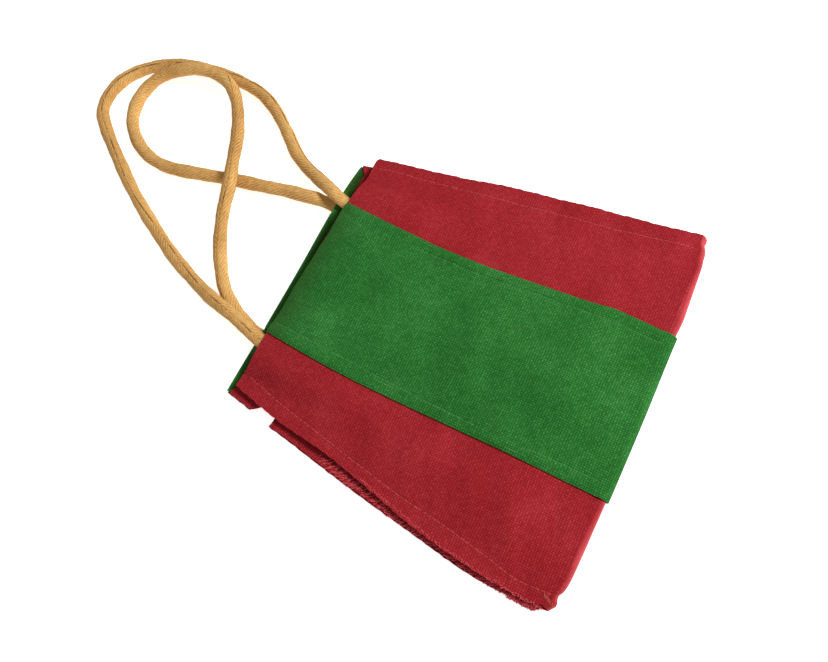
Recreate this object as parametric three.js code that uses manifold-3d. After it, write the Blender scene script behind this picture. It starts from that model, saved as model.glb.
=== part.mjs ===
// Jute tote bag lying flat on its back, mouth towards +Y, base fold towards -Y, front panel up.
// Millimetres, +Z up. The origin is on the surface it lies on, under the middle of the bag's body.
import * as THREE from 'three';
import { mergeVertices } from 'three/addons/utils/BufferGeometryUtils.js';
import Module from 'manifold-3d';

const wasm = await Module();
wasm.setup();

// Driving dimensions
const BODY_CLOTH = 1.3;          // thickness of the red body cloth
const TRIM_CLOTH = 1.2;          // thickness of the green band, the facings and the gussets
const GAP = 0.3;                 // clearance between cloths that lie on each other
const CRUMPLED_GAP = 0.8;        // mean clearance of cloths sewn on the crumpled front panel
const HEM_GAP = 1.0;             // mean clearance between the front panel and the facing under it
const SEAM_GAP = 1.1;            // mean clearance between the front panel and a gusset under it
const ROPE_GAP = 0.4;            // clearance round a handle end in its hem
const FOLD_RADIUS = 5.3;         // middle of the body cloth round the base fold
const HANDLE_DIAMETER = 12.8;    // padded rope
const HANDLE_SIDES = 10;
const HANDLE_STEPS = 72;
const HANDLE_PRESSED = 0.56;     // height of the rope inside a hem, as a share of its diameter
const PRESS_END = 4;             // the rope stays pressed this far past the mouth
const PRESS_FADE = 22;           // and then fills out again over this length
const FACING_DEPTH = 42;         // how far the mouth facings reach into the bag
const FACING_ROWS = [42, 38, 34, 26, 14, 0.6];
const FACING_INSET = 1.5;        // the facings stop this far short of the side edges
const FACING_DRAWN = 4;          // a facing is drawn in this far where it swells over a handle end
const ALLOWANCE = 11;            // side seam allowance, turned outwards
const GUSSET_SET_BACK = 10;      // the gussets stop this far short of the mouth
const ALLOWANCE_SET_BACK = 3;    // and less at the outer edge of the allowance on the back panel
const GUSSET_CREASE = 2.0;       // radius of the gusset's inward crease
const GUSSET_FOOT = 14;          // the gussets start this far in from the base edge
const GUSSET_DEPTH_BASE = 52;    // how far a gusset reaches in between the panels, at the base
const GUSSET_DEPTH_MOUTH = 29;   // and at the mouth
const EDGE_INSET = 0.6;          // the gussets' allowances stop this far short of the panel edges
const HEM_CLEAR = [54, 72];      // from the mouth: the gussets dip under a facing over this length

// Side edges of the two panels, by distance along the bag. The back panel lies a little askew
// under the front, so it shows beyond it on the lower (-X) side.
const PANEL_EDGES = [
  { y: -164, frontLeft: -165.0, frontRight: 170.4, backLeft: -167.5, backRight: 165.0 },
  { y: -140, frontLeft: -167.0, frontRight: 167.2, backLeft: -170.5, backRight: 163.5 },
  { y: -100, frontLeft: -165.0, frontRight: 163.5, backLeft: -169.5, backRight: 160.0 },
  { y: -50, frontLeft: -158.5, frontRight: 158.6, backLeft: -163.2, backRight: 153.0 },
  { y: 0, frontLeft: -147.5, frontRight: 153.0, backLeft: -156.3, backRight: 145.0 },
  { y: 50, frontLeft: -137.0, frontRight: 144.5, backLeft: -148.4, backRight: 137.5 },
  { y: 100, frontLeft: -130.5, frontRight: 136.5, backLeft: -139.5, backRight: 130.5 },
  { y: 150, frontLeft: -119.5, frontRight: 130.2, backLeft: -129.7, backRight: 122.5 },
  { y: 164, frontLeft: -116.5, frontRight: 128.7, backLeft: -127.4, backRight: 120.5 },
];

// The base edge and the two mouth edges, by distance across the bag
const END_LINES = [
  { x: -170, base: -151.5, frontMouth: 156.6, backMouth: 163.6 },
  { x: -158, base: -155.3, frontMouth: 156.6, backMouth: 163.6 },
  { x: -143, base: -159.0, frontMouth: 156.6, backMouth: 163.6 },
  { x: -120, base: -160.2, frontMouth: 156.2, backMouth: 163.5 },
  { x: -110, base: -160.5, frontMouth: 155.1, backMouth: 163.4 },
  { x: -100, base: -160.7, frontMouth: 152.9, backMouth: 163.3 },
  { x: -90, base: -161.0, frontMouth: 151.6, backMouth: 163.1 },
  { x: -60, base: -161.7, frontMouth: 150.5, backMouth: 162.5 },
  { x: 0, base: -162.5, frontMouth: 149.6, backMouth: 162.2 },
  { x: 70, base: -162.7, frontMouth: 145.6, backMouth: 163.0 },
  { x: 90, base: -163.9, frontMouth: 144.5, backMouth: 162.3 },
  { x: 104, base: -163.4, frontMouth: 143.8, backMouth: 161.3 },
  { x: 125, base: -162.4, frontMouth: 146.6, backMouth: 159.1 },
  { x: 150, base: -160.9, frontMouth: 146.8, backMouth: 156.4 },
  { x: 170, base: -156.8, frontMouth: 146.8, backMouth: 156.4 },
];

// Height of the front panel's upper face along the bag: over the middle, and at its side edges
const FRONT_HEIGHTS = [
  { y: -157, middle: 11.9, edge: 11.9 },
  { y: -148, middle: 11.8, edge: 11.2 },
  { y: -128, middle: 13.2, edge: 10.2 },
  { y: -95, middle: 14.6, edge: 9.8 },
  { y: -40, middle: 13.6, edge: 9.4 },
  { y: 30, middle: 13.8, edge: 9.4 },
  { y: 85, middle: 17.4, edge: 9.8 },
  { y: 125, middle: 20.2, edge: 10.8 },
  { y: 146, middle: 18.6, edge: 10.6 },
  { y: 156, middle: 17.0, edge: 10.2 },
];
const EDGE_RISE = 58;            // distance in from a side edge over which the front rises
const BASE_CALM = [8, 30];       // from the base edge: no soft folds before, full ones after
const HEM_LIFT_REACH = 95;       // from the mouth: the swelling over a handle end fades by here

// Soft ridges and troughs of the front panel, each an oval swelling. turn is in degrees from +X.
const SOFT_FOLDS = [
  { x: -108, y: -96, long: 34, wide: 15, turn: 20, rise: 1.9 },
  { x: -112, y: -134, long: 34, wide: 11, turn: 8, rise: -1.5 },
  { x: 152, y: -140, long: 24, wide: 14, turn: -30, rise: 2.4 },
  { x: 102, y: -128, long: 36, wide: 15, turn: -8, rise: -0.9 },
  { x: 18, y: 40, long: 60, wide: 26, turn: 65, rise: 0.9 },
  { x: -35, y: 0, long: 50, wide: 26, turn: 40, rise: -0.8 },
  { x: 105, y: 40, long: 30, wide: 24, turn: 80, rise: 0.9 },
  { x: 128, y: -10, long: 40, wide: 14, turn: 85, rise: -0.6 },
];

// Centre band on the front panel, wrapped round the base fold
const BAND_EDGES = [
  { y: -164, left: -74.5, right: 73.2 },
  { y: -118, left: -74.1, right: 74.8 },
  { y: -100, left: -74.0, right: 72.8 },
  { y: -75, left: -73.5, right: 71.2 },
  { y: -15, left: -73.5, right: 68.1 },
  { y: 25, left: -73.5, right: 67.0 },
  { y: 60, left: -73.3, right: 67.2 },
  { y: 95, left: -72.2, right: 67.5 },
  { y: 155, left: -67.3, right: 72.0 },
];
const BAND_WRAP = 42;            // degrees that the band runs below the fold's outermost line

// Handle ends inside the hems: where they lie across the bag
const FRONT_ENDS = [-76.5, 71.0];
const BACK_ENDS = [-71.3, 70.6];
const HANDLE_HIDDEN = 34;        // length of each end inside its hem
const HEM_LIFT_FLAT = 9.0;       // half width of the flat top over a handle end
const HEM_LIFT_SPREAD = 34;      // half width of the whole swelling on the front panel
const FACING_SPREAD = 18;        // half width of the whole swelling on a facing

// Clipped notches in the seam allowance that lies on the back panel, seen from above
const NOTCH = [
  { out: 12, y: 115.0 },
  { out: -11, y: 109.0 },
  { out: -11, y: 124.0 },
  { out: 11, y: 148.0 },
];
const NOTCH_TOP = 5.0;

// Heights that follow from the layers
const BACK_TOP = BODY_CLOTH;
const PRESSED_HEIGHT = HANDLE_DIAMETER * HANDLE_PRESSED;
const BACK_END_Z = BACK_TOP + ROPE_GAP + PRESSED_HEIGHT / 2;
const BACK_FACING_FLAT = BACK_TOP + GAP + TRIM_CLOTH / 2;
const BACK_FACING_RAISED = BACK_END_Z + PRESSED_HEIGHT / 2 + GAP + TRIM_CLOTH / 2;
const FRONT_FACING_RAISED = BACK_FACING_RAISED + TRIM_CLOTH + GAP;
const FRONT_END_Z = FRONT_FACING_RAISED + TRIM_CLOTH / 2 + ROPE_GAP + PRESSED_HEIGHT / 2;
const HEM_TOP = FRONT_END_Z + PRESSED_HEIGHT / 2 + ROPE_GAP + BODY_CLOTH;

// Handle routes, middle of the rope, from its upper-side (+X) end to its lower-side (-X) end
const HANDLE_FRONT_ROUTE = [
  [70.4, 113.5, FRONT_END_Z], [71.2, 130.0, FRONT_END_Z], [72.4, 147.0, FRONT_END_Z],
  [77.2, 163.0, 17.2], [83.7, 179.0, 14.6], [94.6, 204.6, 8.6], [105.1, 223.1, 6.6],
  [122.4, 244.0, 6.6], [142.0, 270.0, 6.6], [153.2, 292.8, 6.6], [157.9, 317.8, 6.6],
  [159.0, 345.3, 6.6], [156.4, 378.8, 6.6], [148.6, 403.0, 6.6], [136.8, 423.5, 6.6],
  [121.2, 437.9, 6.6], [105.6, 444.6, 6.6], [87.6, 445.5, 6.6], [71.4, 440.3, 6.6],
  [56.6, 426.0, 6.6], [40.7, 405.7, 6.6], [25.7, 384.8, 6.6], [10.6, 363.3, 6.6],
  [-4.8, 338.6, 6.6], [-24.3, 304.0, 6.6], [-37.6, 278.0, 6.6], [-47.8, 253.0, 7.2],
  [-54.8, 233.7, 10.4], [-60.8, 214.2, 16.0], [-65.8, 192.4, 19.6], [-70.4, 174.4, 18.8],
  [-75.6, 155.0, FRONT_END_Z], [-77.0, 136.0, FRONT_END_Z], [-77.4, 119.5, FRONT_END_Z],
];
const HANDLE_BACK_ROUTE = [
  [70.6, 130.5, BACK_END_Z], [70.7, 146.0, BACK_END_Z], [70.7, 166.0, BACK_END_Z],
  [70.4, 180.0, 6.5], [68.4, 194.3, 6.6], [66.8, 209.5, 6.6], [62.3, 233.7, 6.6],
  [57.0, 263.7, 6.6], [48.9, 302.4, 6.6], [43.3, 331.2, 6.6], [42.9, 350.0, 6.6],
  [47.2, 368.2, 6.6], [57.0, 386.4, 6.6], [73.4, 403.0, 6.6], [93.4, 411.4, 6.6],
  [113.6, 410.8, 7.8], [130.2, 401.0, 11.4], [141.2, 382.6, 16.2], [147.3, 366.0, 18.6],
  [149.8, 347.3, 19.0], [146.6, 326.3, 17.6], [134.6, 309.9, 15.0], [114.5, 295.5, 13.2],
  [93.9, 283.4, 15.2], [68.2, 270.8, 19.4], [43.6, 259.2, 21.2], [21.6, 254.0, 16.2],
  [5.7, 249.6, 10.3], [-10.2, 242.2, 7.4], [-25.6, 232.0, 6.6], [-40.4, 220.2, 6.6],
  [-49.5, 210.3, 6.6], [-59.3, 195.2, 6.6], [-66.0, 178.7, 6.2], [-70.0, 165.2, BACK_END_Z],
  [-71.2, 146.0, BACK_END_Z], [-71.6, 130.5, BACK_END_Z],
];

const COLOURS = { red: '#9a2a30', green: '#31702f', rope: '#c0945a' };

// Curve through a table's named column, level past its ends
function through(rows, place, column) {
  const at = rows.map((row) => row[place]);
  const value = rows.map((row) => row[column]);
  const slope = value.map((_, i) => {
    const before = Math.max(i - 1, 0);
    const after = Math.min(i + 1, rows.length - 1);
    return (value[after] - value[before]) / (at[after] - at[before]);
  });
  return (p) => {
    if (p <= at[0]) return value[0];
    const last = rows.length - 1;
    if (p >= at[last]) return value[last];
    let i = 0;
    while (p > at[i + 1]) i += 1;
    const span = at[i + 1] - at[i];
    const t = (p - at[i]) / span;
    const t2 = t * t;
    const t3 = t2 * t;
    return value[i] * (2 * t3 - 3 * t2 + 1) + slope[i] * span * (t3 - 2 * t2 + t)
      + value[i + 1] * (3 * t2 - 2 * t3) + slope[i + 1] * span * (t3 - t2);
  };
}

const smooth = THREE.MathUtils.smoothstep;
const lerp = THREE.MathUtils.lerp;
const frontLeft = through(PANEL_EDGES, 'y', 'frontLeft');
const frontRight = through(PANEL_EDGES, 'y', 'frontRight');
const backLeft = through(PANEL_EDGES, 'y', 'backLeft');
const backRight = through(PANEL_EDGES, 'y', 'backRight');
const baseLine = through(END_LINES, 'x', 'base');
const frontMouth = through(END_LINES, 'x', 'frontMouth');
const backMouth = through(END_LINES, 'x', 'backMouth');
const middleHeight = through(FRONT_HEIGHTS, 'y', 'middle');
const edgeHeight = through(FRONT_HEIGHTS, 'y', 'edge');
const bandLeft = through(BAND_EDGES, 'y', 'left');
const bandRight = through(BAND_EDGES, 'y', 'right');
const BASE = baseLine(0);
const FRONT_MOUTH = frontMouth(0);
const BACK_MOUTH = backMouth(0);
const FOLD_HEIGHT = FOLD_RADIUS + BODY_CLOTH / 2;

// 1 over each handle end, fading to 0 at the given half width
function overEnds(x, ends, spread) {
  return ends.reduce((most, end) => {
    const near = 1 - smooth(Math.abs(x - end), HEM_LIFT_FLAT, spread);
    return Math.max(most, near);
  }, 0);
}

function softFolds(x, y) {
  return SOFT_FOLDS.reduce((sum, fold) => {
    const turn = THREE.MathUtils.degToRad(fold.turn);
    const dx = x - fold.x;
    const dy = y - fold.y;
    const alongFold = (dx * Math.cos(turn) + dy * Math.sin(turn)) / fold.long;
    const acrossFold = (dy * Math.cos(turn) - dx * Math.sin(turn)) / fold.wide;
    return sum + fold.rise * Math.exp(-(alongFold ** 2) - acrossFold ** 2);
  }, 0);
}

// Upper face of the front panel
function frontTop(x, y) {
  const inside = Math.min(x - frontLeft(y), frontRight(y) - x);
  const shape = lerp(edgeHeight(y), middleHeight(y), smooth(inside, 0, EDGE_RISE));
  const calm = smooth(y - baseLine(x), ...BASE_CALM);
  const crumpled = shape + softFolds(x, y) * calm;
  const fade = 1 - smooth(frontMouth(x) - y, HANDLE_HIDDEN + 2, HEM_LIFT_REACH);
  return lerp(crumpled, HEM_TOP, fade * overEnds(x, FRONT_ENDS, HEM_LIFT_SPREAD));
}

// Closed solid of a cloth from rows of { point, out }: its middle points and their outward normals
function clothSolid(rows, thickness) {
  const across = rows[0].length;
  const positions = [];
  for (const side of [0.5, -0.5]) {
    for (const row of rows) {
      for (const { point, out } of row) {
        positions.push(...point.clone().addScaledVector(out, side * thickness).toArray());
      }
    }
  }
  const under = rows.length * across;
  const faces = [];
  const quad = (a, b, c, d) => faces.push(a, b, c, a, c, d);
  for (let i = 0; i < rows.length - 1; i += 1) {
    for (let j = 0; j < across - 1; j += 1) {
      const a = i * across + j;
      quad(a, a + 1, a + across + 1, a + across);
      quad(under + a, under + a + across, under + a + across + 1, under + a + 1);
    }
  }
  for (let i = 0; i < rows.length - 1; i += 1) {
    const left = i * across;
    const right = left + across - 1;
    quad(left, left + across, under + left + across, under + left);
    quad(right + across, right, under + right, under + right + across);
  }
  const top = (rows.length - 1) * across;
  for (let j = 0; j < across - 1; j += 1) {
    quad(j + 1, j, under + j, under + j + 1);
    quad(top + j, top + j + 1, under + top + j + 1, under + top + j);
  }
  const geometry = new THREE.BufferGeometry();
  geometry.setAttribute('position', new THREE.Float32BufferAttribute(positions, 3));
  geometry.setIndex(faces);
  return facingOut(geometry);
}

function volume(geometry) {
  const p = geometry.getAttribute('position');
  const index = geometry.getIndex();
  const corner = [new THREE.Vector3(), new THREE.Vector3(), new THREE.Vector3()];
  let sum = 0;
  for (let i = 0; i < index.count; i += 3) {
    corner.forEach((v, k) => v.fromBufferAttribute(p, index.getX(i + k)));
    sum += corner[0].dot(corner[1].clone().cross(corner[2])) / 6;
  }
  return sum;
}

function facingOut(geometry) {
  if (volume(geometry) > 0) return geometry;
  const flipped = Array.from(geometry.getIndex().array).reverse();
  geometry.setIndex(flipped);
  return geometry;
}

// Rows of middle points with normals worked out from their neighbours
function withNormals(points) {
  const last = points.length - 1;
  return points.map((row, i) => row.map((point, j) => {
    const alongRow = row[Math.min(j + 1, row.length - 1)].clone().sub(row[Math.max(j - 1, 0)]);
    const alongColumn = points[Math.min(i + 1, last)][j].clone().sub(points[Math.max(i - 1, 0)][j]);
    return { point, out: alongRow.cross(alongColumn).normalize() };
  }));
}

function heightNormal(height, x, y) {
  const step = 0.5;
  const dx = (height(x + step, y) - height(x - step, y)) / (2 * step);
  const dy = (height(x, y + step) - height(x, y - step)) / (2 * step);
  return new THREE.Vector3(-dx, -dy, 1).normalize();
}

const spread = (count) => Array.from({ length: count + 1 }, (_, i) => i / count);

// Columns across the body cloth and the band, closer together over the handle ends
const BODY_COLUMNS = [0, 0.035, 0.07, 0.105, 0.14, 0.175, 0.21, 0.245, 0.285, 0.34, 0.4, 0.47,
  0.54, 0.6, 0.655, 0.7, 0.735, 0.77, 0.805, 0.84, 0.875, 0.91, 0.955, 1];
const BAND_COLUMNS = [0, 0.05, 0.11, 0.17, 0.24, 0.34, 0.46, 0.58, 0.68, 0.76, 0.83, 0.89, 0.95, 1];

// Front panel, base fold and back panel are one length of cloth
function bodyCloth() {
  const mid = BODY_CLOTH / 2;
  const rows = [];
  for (const v of spread(24).reverse()) {
    const nominal = lerp(BASE, FRONT_MOUTH, v);
    rows.push(BODY_COLUMNS.map((u) => {
      const x = lerp(frontLeft(nominal), frontRight(nominal), u);
      const y = lerp(baseLine(x) + FOLD_HEIGHT, frontMouth(x), v);
      const out = heightNormal(frontTop, x, y);
      return { point: new THREE.Vector3(x, y, frontTop(x, y) - mid), out };
    }));
  }
  for (const turn of spread(6).slice(1, -1)) {
    const angle = Math.PI * turn;
    rows.push(BODY_COLUMNS.map((u) => {
      const front = lerp(frontLeft(BASE), frontRight(BASE), u);
      const back = lerp(backLeft(BASE), backRight(BASE), u);
      const x = lerp(front, back, turn);
      const out = new THREE.Vector3(0, -Math.sin(angle), Math.cos(angle));
      const centre = new THREE.Vector3(x, baseLine(x) + FOLD_HEIGHT, FOLD_HEIGHT);
      return { point: centre.addScaledVector(out, FOLD_RADIUS), out };
    }));
  }
  for (const v of spread(8)) {
    const nominal = lerp(BASE, BACK_MOUTH, v);
    rows.push(BODY_COLUMNS.map((u) => {
      const x = lerp(backLeft(nominal), backRight(nominal), u);
      const y = lerp(baseLine(x) + FOLD_HEIGHT, backMouth(x), v);
      return { point: new THREE.Vector3(x, y, mid), out: new THREE.Vector3(0, 0, -1) };
    }));
  }
  return notched(clothSolid(rows, BODY_CLOTH));
}

// Green band sewn on the front panel, its lower end carried round the base fold
function centreBand() {
  const lift = CRUMPLED_GAP + TRIM_CLOTH / 2;
  const rows = [];
  for (const v of spread(24).reverse()) {
    const nominal = lerp(BASE, FRONT_MOUTH, v);
    rows.push(BAND_COLUMNS.map((u) => {
      const x = lerp(bandLeft(nominal), bandRight(nominal), u);
      const y = lerp(baseLine(x) + FOLD_HEIGHT, frontMouth(x), v);
      const out = heightNormal(frontTop, x, y);
      const point = new THREE.Vector3(x, y, frontTop(x, y)).addScaledVector(out, lift);
      return { point, out };
    }));
  }
  for (const turn of spread(5).slice(1)) {
    const angle = THREE.MathUtils.degToRad((90 + BAND_WRAP) * turn);
    rows.push(BAND_COLUMNS.map((u) => {
      const x = lerp(bandLeft(BASE), bandRight(BASE), u);
      const out = new THREE.Vector3(0, -Math.sin(angle), Math.cos(angle));
      const centre = new THREE.Vector3(x, baseLine(x) + FOLD_HEIGHT, FOLD_HEIGHT);
      return { point: centre.addScaledVector(out, FOLD_HEIGHT + lift), out };
    }));
  }
  return clothSolid(rows, TRIM_CLOTH);
}

// Facing inside a mouth edge, lying on its panel and swelling over the handle ends
function mouthFacing({ left, right, mouth, ends, flat, raised }) {
  const rows = FACING_ROWS.map((deep) => BODY_COLUMNS.map((u) => {
    const nominal = mouth(0) - deep;
    const x = lerp(left(nominal) + FACING_INSET, right(nominal) - FACING_INSET, u);
    const end = 1 - smooth(deep, HANDLE_HIDDEN + 1, FACING_DEPTH);
    const swell = overEnds(x, ends, FACING_SPREAD) * end;
    const y = mouth(x) - deep - FACING_DRAWN * swell;
    return new THREE.Vector3(x, y, lerp(flat(x, y), raised, swell));
  }));
  return clothSolid(withNormals(rows), TRIM_CLOTH);
}

// Side gusset folded inwards between the panels: seam allowance on the back panel, leg, crease,
// leg, and seam allowance under the front panel
function gusset(side) {
  const back = side < 0 ? backLeft : backRight;
  const front = side < 0 ? frontLeft : frontRight;
  const half = TRIM_CLOTH / 2;
  const legSteps = [0, 0.25, 0.5, 0.75, 1];
  const underHem = (mouth, x, y) => 1 - smooth(mouth(x) - y, ...HEM_CLEAR);
  const onBack = (x, y) => BACK_FACING_FLAT + underHem(backMouth, x, y) * (TRIM_CLOTH + GAP);
  const underFront = (x, y) => {
    const dip = underHem(frontMouth, x, y) * (TRIM_CLOTH + GAP);
    return frontTop(x, y) - BODY_CLOTH - SEAM_GAP - half - dip;
  };
  const rows = spread(22).map((v) => {
    const edgeBack = back(lerp(BASE + GUSSET_FOOT, BACK_MOUTH - GUSSET_SET_BACK, v));
    const edgeFront = front(lerp(BASE + GUSSET_FOOT, FRONT_MOUTH - GUSSET_SET_BACK, v));
    const foldX = edgeBack - side * lerp(GUSSET_DEPTH_BASE, GUSSET_DEPTH_MOUTH, v);
    const foot = baseLine(foldX) + GUSSET_FOOT;
    const yStart = lerp(foot, backMouth(foldX) - ALLOWANCE_SET_BACK, v);
    const yBack = lerp(foot, backMouth(foldX) - GUSSET_SET_BACK, v);
    const yFront = lerp(foot, frontMouth(foldX) - GUSSET_SET_BACK, v);
    const seamBack = edgeBack - side * ALLOWANCE;
    const seamFront = edgeFront - side * ALLOWANCE;
    const low = onBack(seamBack, yBack);
    const high = underFront(seamFront, yFront);
    const middle = (low + high) / 2;
    const crease = Math.min(GUSSET_CREASE, (high - low) / 2);
    const edgeStart = back(lerp(BASE + GUSSET_FOOT, BACK_MOUTH - ALLOWANCE_SET_BACK, v));
    const startBack = edgeStart - side * EDGE_INSET;
    const startFront = edgeFront - side * EDGE_INSET;
    const legBack = legSteps.map((s) => {
      const x = lerp(seamBack, foldX, s);
      return [x, yBack, lerp(onBack(x, yBack), middle - crease, smooth(s, 0, 1))];
    });
    const fold = [0.25, 0.5, 0.75].map((s) => {
      const x = foldX - side * crease * Math.sin(Math.PI * s);
      return [x, lerp(yBack, yFront, s), middle - crease * Math.cos(Math.PI * s)];
    });
    const legFront = legSteps.map((s) => {
      const x = lerp(seamFront, foldX, s);
      return [x, yFront, lerp(underFront(x, yFront), middle + crease, smooth(s, 0, 1))];
    });
    const profile = [
      [startBack, yStart, onBack(startBack, yStart)],
      ...legBack,
      ...fold,
      ...legFront.reverse(),
      [startFront, yFront, underFront(startFront, yFront)],
    ];
    return profile.map((spot) => new THREE.Vector3(...spot));
  });
  return notched(clothSolid(withNormals(rows), TRIM_CLOTH));
}

function toSolid(geometry) {
  const bare = new THREE.BufferGeometry();
  bare.setAttribute('position', geometry.getAttribute('position').clone());
  if (geometry.getIndex()) bare.setIndex(geometry.getIndex().clone());
  const merged = mergeVertices(bare, 1e-4);
  return new wasm.Manifold(new wasm.Mesh({
    numProp: 3,
    vertProperties: Float32Array.from(merged.getAttribute('position').array),
    triVerts: Uint32Array.from(merged.getIndex().array),
  }));
}

function toGeometry(solid) {
  const mesh = solid.getMesh();
  const geometry = new THREE.BufferGeometry();
  geometry.setAttribute('position', new THREE.Float32BufferAttribute(mesh.vertProperties, 3));
  geometry.setIndex(Array.from(mesh.triVerts));
  return geometry;
}

// Cuts the clipped notches out of the layers that lie on the back panel
function notched(geometry) {
  let solid = toSolid(geometry);
  for (const side of [-1, 1]) {
    const edge = side < 0 ? backLeft : backRight;
    const outline = new THREE.Shape(NOTCH.map(({ out, y }) => new THREE.Vector2(edge(y) + side * out, y)));
    const block = new THREE.ExtrudeGeometry(outline, { depth: NOTCH_TOP + 1, bevelEnabled: false });
    block.translate(0, 0, -1);
    solid = solid.subtract(toSolid(block));
  }
  return toGeometry(solid);
}

// Padded rope along a route, pressed flatter where it lies in its hem
function handle(route, mouth) {
  const points = route.map((spot) => new THREE.Vector3(...spot));
  const curve = new THREE.CatmullRomCurve3(points, false, 'centripetal');
  const section = new THREE.Shape(spread(HANDLE_SIDES).slice(0, -1).map((s) => {
    const angle = 2 * Math.PI * s;
    return new THREE.Vector2(Math.cos(angle), Math.sin(angle)).multiplyScalar(HANDLE_DIAMETER / 2);
  }));
  const along = { steps: HANDLE_STEPS, extrudePath: curve, bevelEnabled: false };
  const tube = new THREE.ExtrudeGeometry(section, along);
  const position = tube.getAttribute('position');
  const middle = curve.getSpacedPoints(HANDLE_STEPS);
  for (let i = 0; i < position.count; i += 1) {
    const spot = new THREE.Vector3().fromBufferAttribute(position, i);
    const near = middle.reduce((best, m) => (m.distanceTo(spot) < best.distanceTo(spot) ? m : best));
    const past = near.y - mouth(near.x);
    const height = lerp(HANDLE_PRESSED, 1, smooth(past, PRESS_END, PRESS_END + PRESS_FADE));
    position.setZ(i, near.z + (spot.z - near.z) * height);
  }
  return toGeometry(toSolid(tube));
}

const bag = new THREE.Group();
const finishes = {
  red: { color: COLOURS.red, roughness: 0.92, metalness: 0 },
  green: { color: COLOURS.green, roughness: 0.92, metalness: 0 },
  rope: { color: COLOURS.rope, roughness: 0.85, metalness: 0 },
};

function addPiece(name, geometry, finish) {
  const shaded = geometry.clone();
  shaded.computeVertexNormals();
  const piece = new THREE.Mesh(shaded, new THREE.MeshStandardMaterial(finishes[finish]));
  piece.name = name;
  bag.add(piece);
}

addPiece('body_cloth', bodyCloth(), 'red');
addPiece('centre_band', centreBand(), 'green');
addPiece('gusset_lower', gusset(-1), 'red');
addPiece('gusset_upper', gusset(1), 'red');
addPiece('facing_back', notched(mouthFacing({
  left: backLeft,
  right: backRight,
  mouth: backMouth,
  ends: BACK_ENDS,
  flat: () => BACK_FACING_FLAT,
  raised: BACK_FACING_RAISED,
})), 'green');
addPiece('facing_front', mouthFacing({
  left: frontLeft,
  right: frontRight,
  mouth: frontMouth,
  ends: FRONT_ENDS,
  flat: (x, y) => frontTop(x, y) - BODY_CLOTH - HEM_GAP - TRIM_CLOTH / 2,
  raised: FRONT_FACING_RAISED,
}), 'green');
addPiece('handle_front', handle(HANDLE_FRONT_ROUTE, frontMouth), 'rope');
addPiece('handle_back', handle(HANDLE_BACK_ROUTE, backMouth), 'rope');

export default bag;
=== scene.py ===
# %% [markdown]
# # A jute tote bag, lying on its back
# The bag is empty and flat. A red jute body is folded round at the base, a green band runs down
# its front, and two handles of padded rope wrapped in twill tape lie in loose loops. The fixed
# frame gives the place of every piece, so this lesson only gives each one its true surface.

# %% The frame
import math
import random

import bpy
import numpy as np
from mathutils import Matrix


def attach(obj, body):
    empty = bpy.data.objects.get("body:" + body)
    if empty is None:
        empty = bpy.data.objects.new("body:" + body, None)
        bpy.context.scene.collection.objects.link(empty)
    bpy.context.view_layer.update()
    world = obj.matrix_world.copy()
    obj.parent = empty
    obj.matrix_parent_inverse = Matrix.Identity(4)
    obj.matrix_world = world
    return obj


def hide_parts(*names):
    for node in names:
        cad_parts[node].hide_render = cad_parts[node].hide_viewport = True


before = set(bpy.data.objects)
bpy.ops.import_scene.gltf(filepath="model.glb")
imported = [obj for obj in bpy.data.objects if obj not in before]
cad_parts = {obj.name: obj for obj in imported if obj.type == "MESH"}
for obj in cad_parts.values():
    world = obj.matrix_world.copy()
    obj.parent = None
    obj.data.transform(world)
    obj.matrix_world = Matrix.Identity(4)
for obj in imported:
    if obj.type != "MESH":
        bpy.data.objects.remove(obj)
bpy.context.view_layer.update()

# %% [markdown]
# ## Camera
# The photograph looks down at the bag from close by, with the bag turned in the picture. A camera
# could be aimed with a Track To constraint, but then its roll needs an extra empty. Three angles
# say the same thing plainly.

# %% Camera
CAMERA_AT = (-0.162, -0.107, 0.5756)
CAMERA_TURN = (19.327, 6.232, -63.458)  # degrees about X, Y and Z
CAMERA_LENS = 30.43  # millimetres, on a 36 mm sensor

camera_data = bpy.data.cameras.new("photo_view")
camera_data.lens = CAMERA_LENS
camera_data.sensor_width = 36.0
camera = bpy.data.objects.new("photo_view", camera_data)
camera.location = CAMERA_AT
camera.rotation_euler = [math.radians(turn) for turn in CAMERA_TURN]
bpy.context.scene.collection.objects.link(camera)
bpy.context.scene.camera = camera
bpy.context.scene.view_settings.view_transform = "Standard"
print("camera", round(camera.location.z, 3), "m above the floor")

# %% [markdown]
# ## Sizes
# The cloths lie in thin layers, so the heights are worked out from the floor upwards: back panel,
# pressed rope end, back facing, front facing, pressed rope end, front panel.

# %% Sizes in metres
BODY_CLOTH = 0.0013
TRIM_CLOTH = 0.0012
GAP = 0.0003
CRUMPLED_GAP = 0.0008
HEM_GAP = 0.0010
SEAM_GAP = 0.0011
ROPE_GAP = 0.0004
FOLD_RADIUS = 0.0053
ROPE_SOLID = 0.0128  # the rope's plain solid
ROPE_PRESSED = 0.56
PRESS_END = 0.004
PRESS_FADE = 0.022
HANDLE_HIDDEN = 0.034

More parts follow.
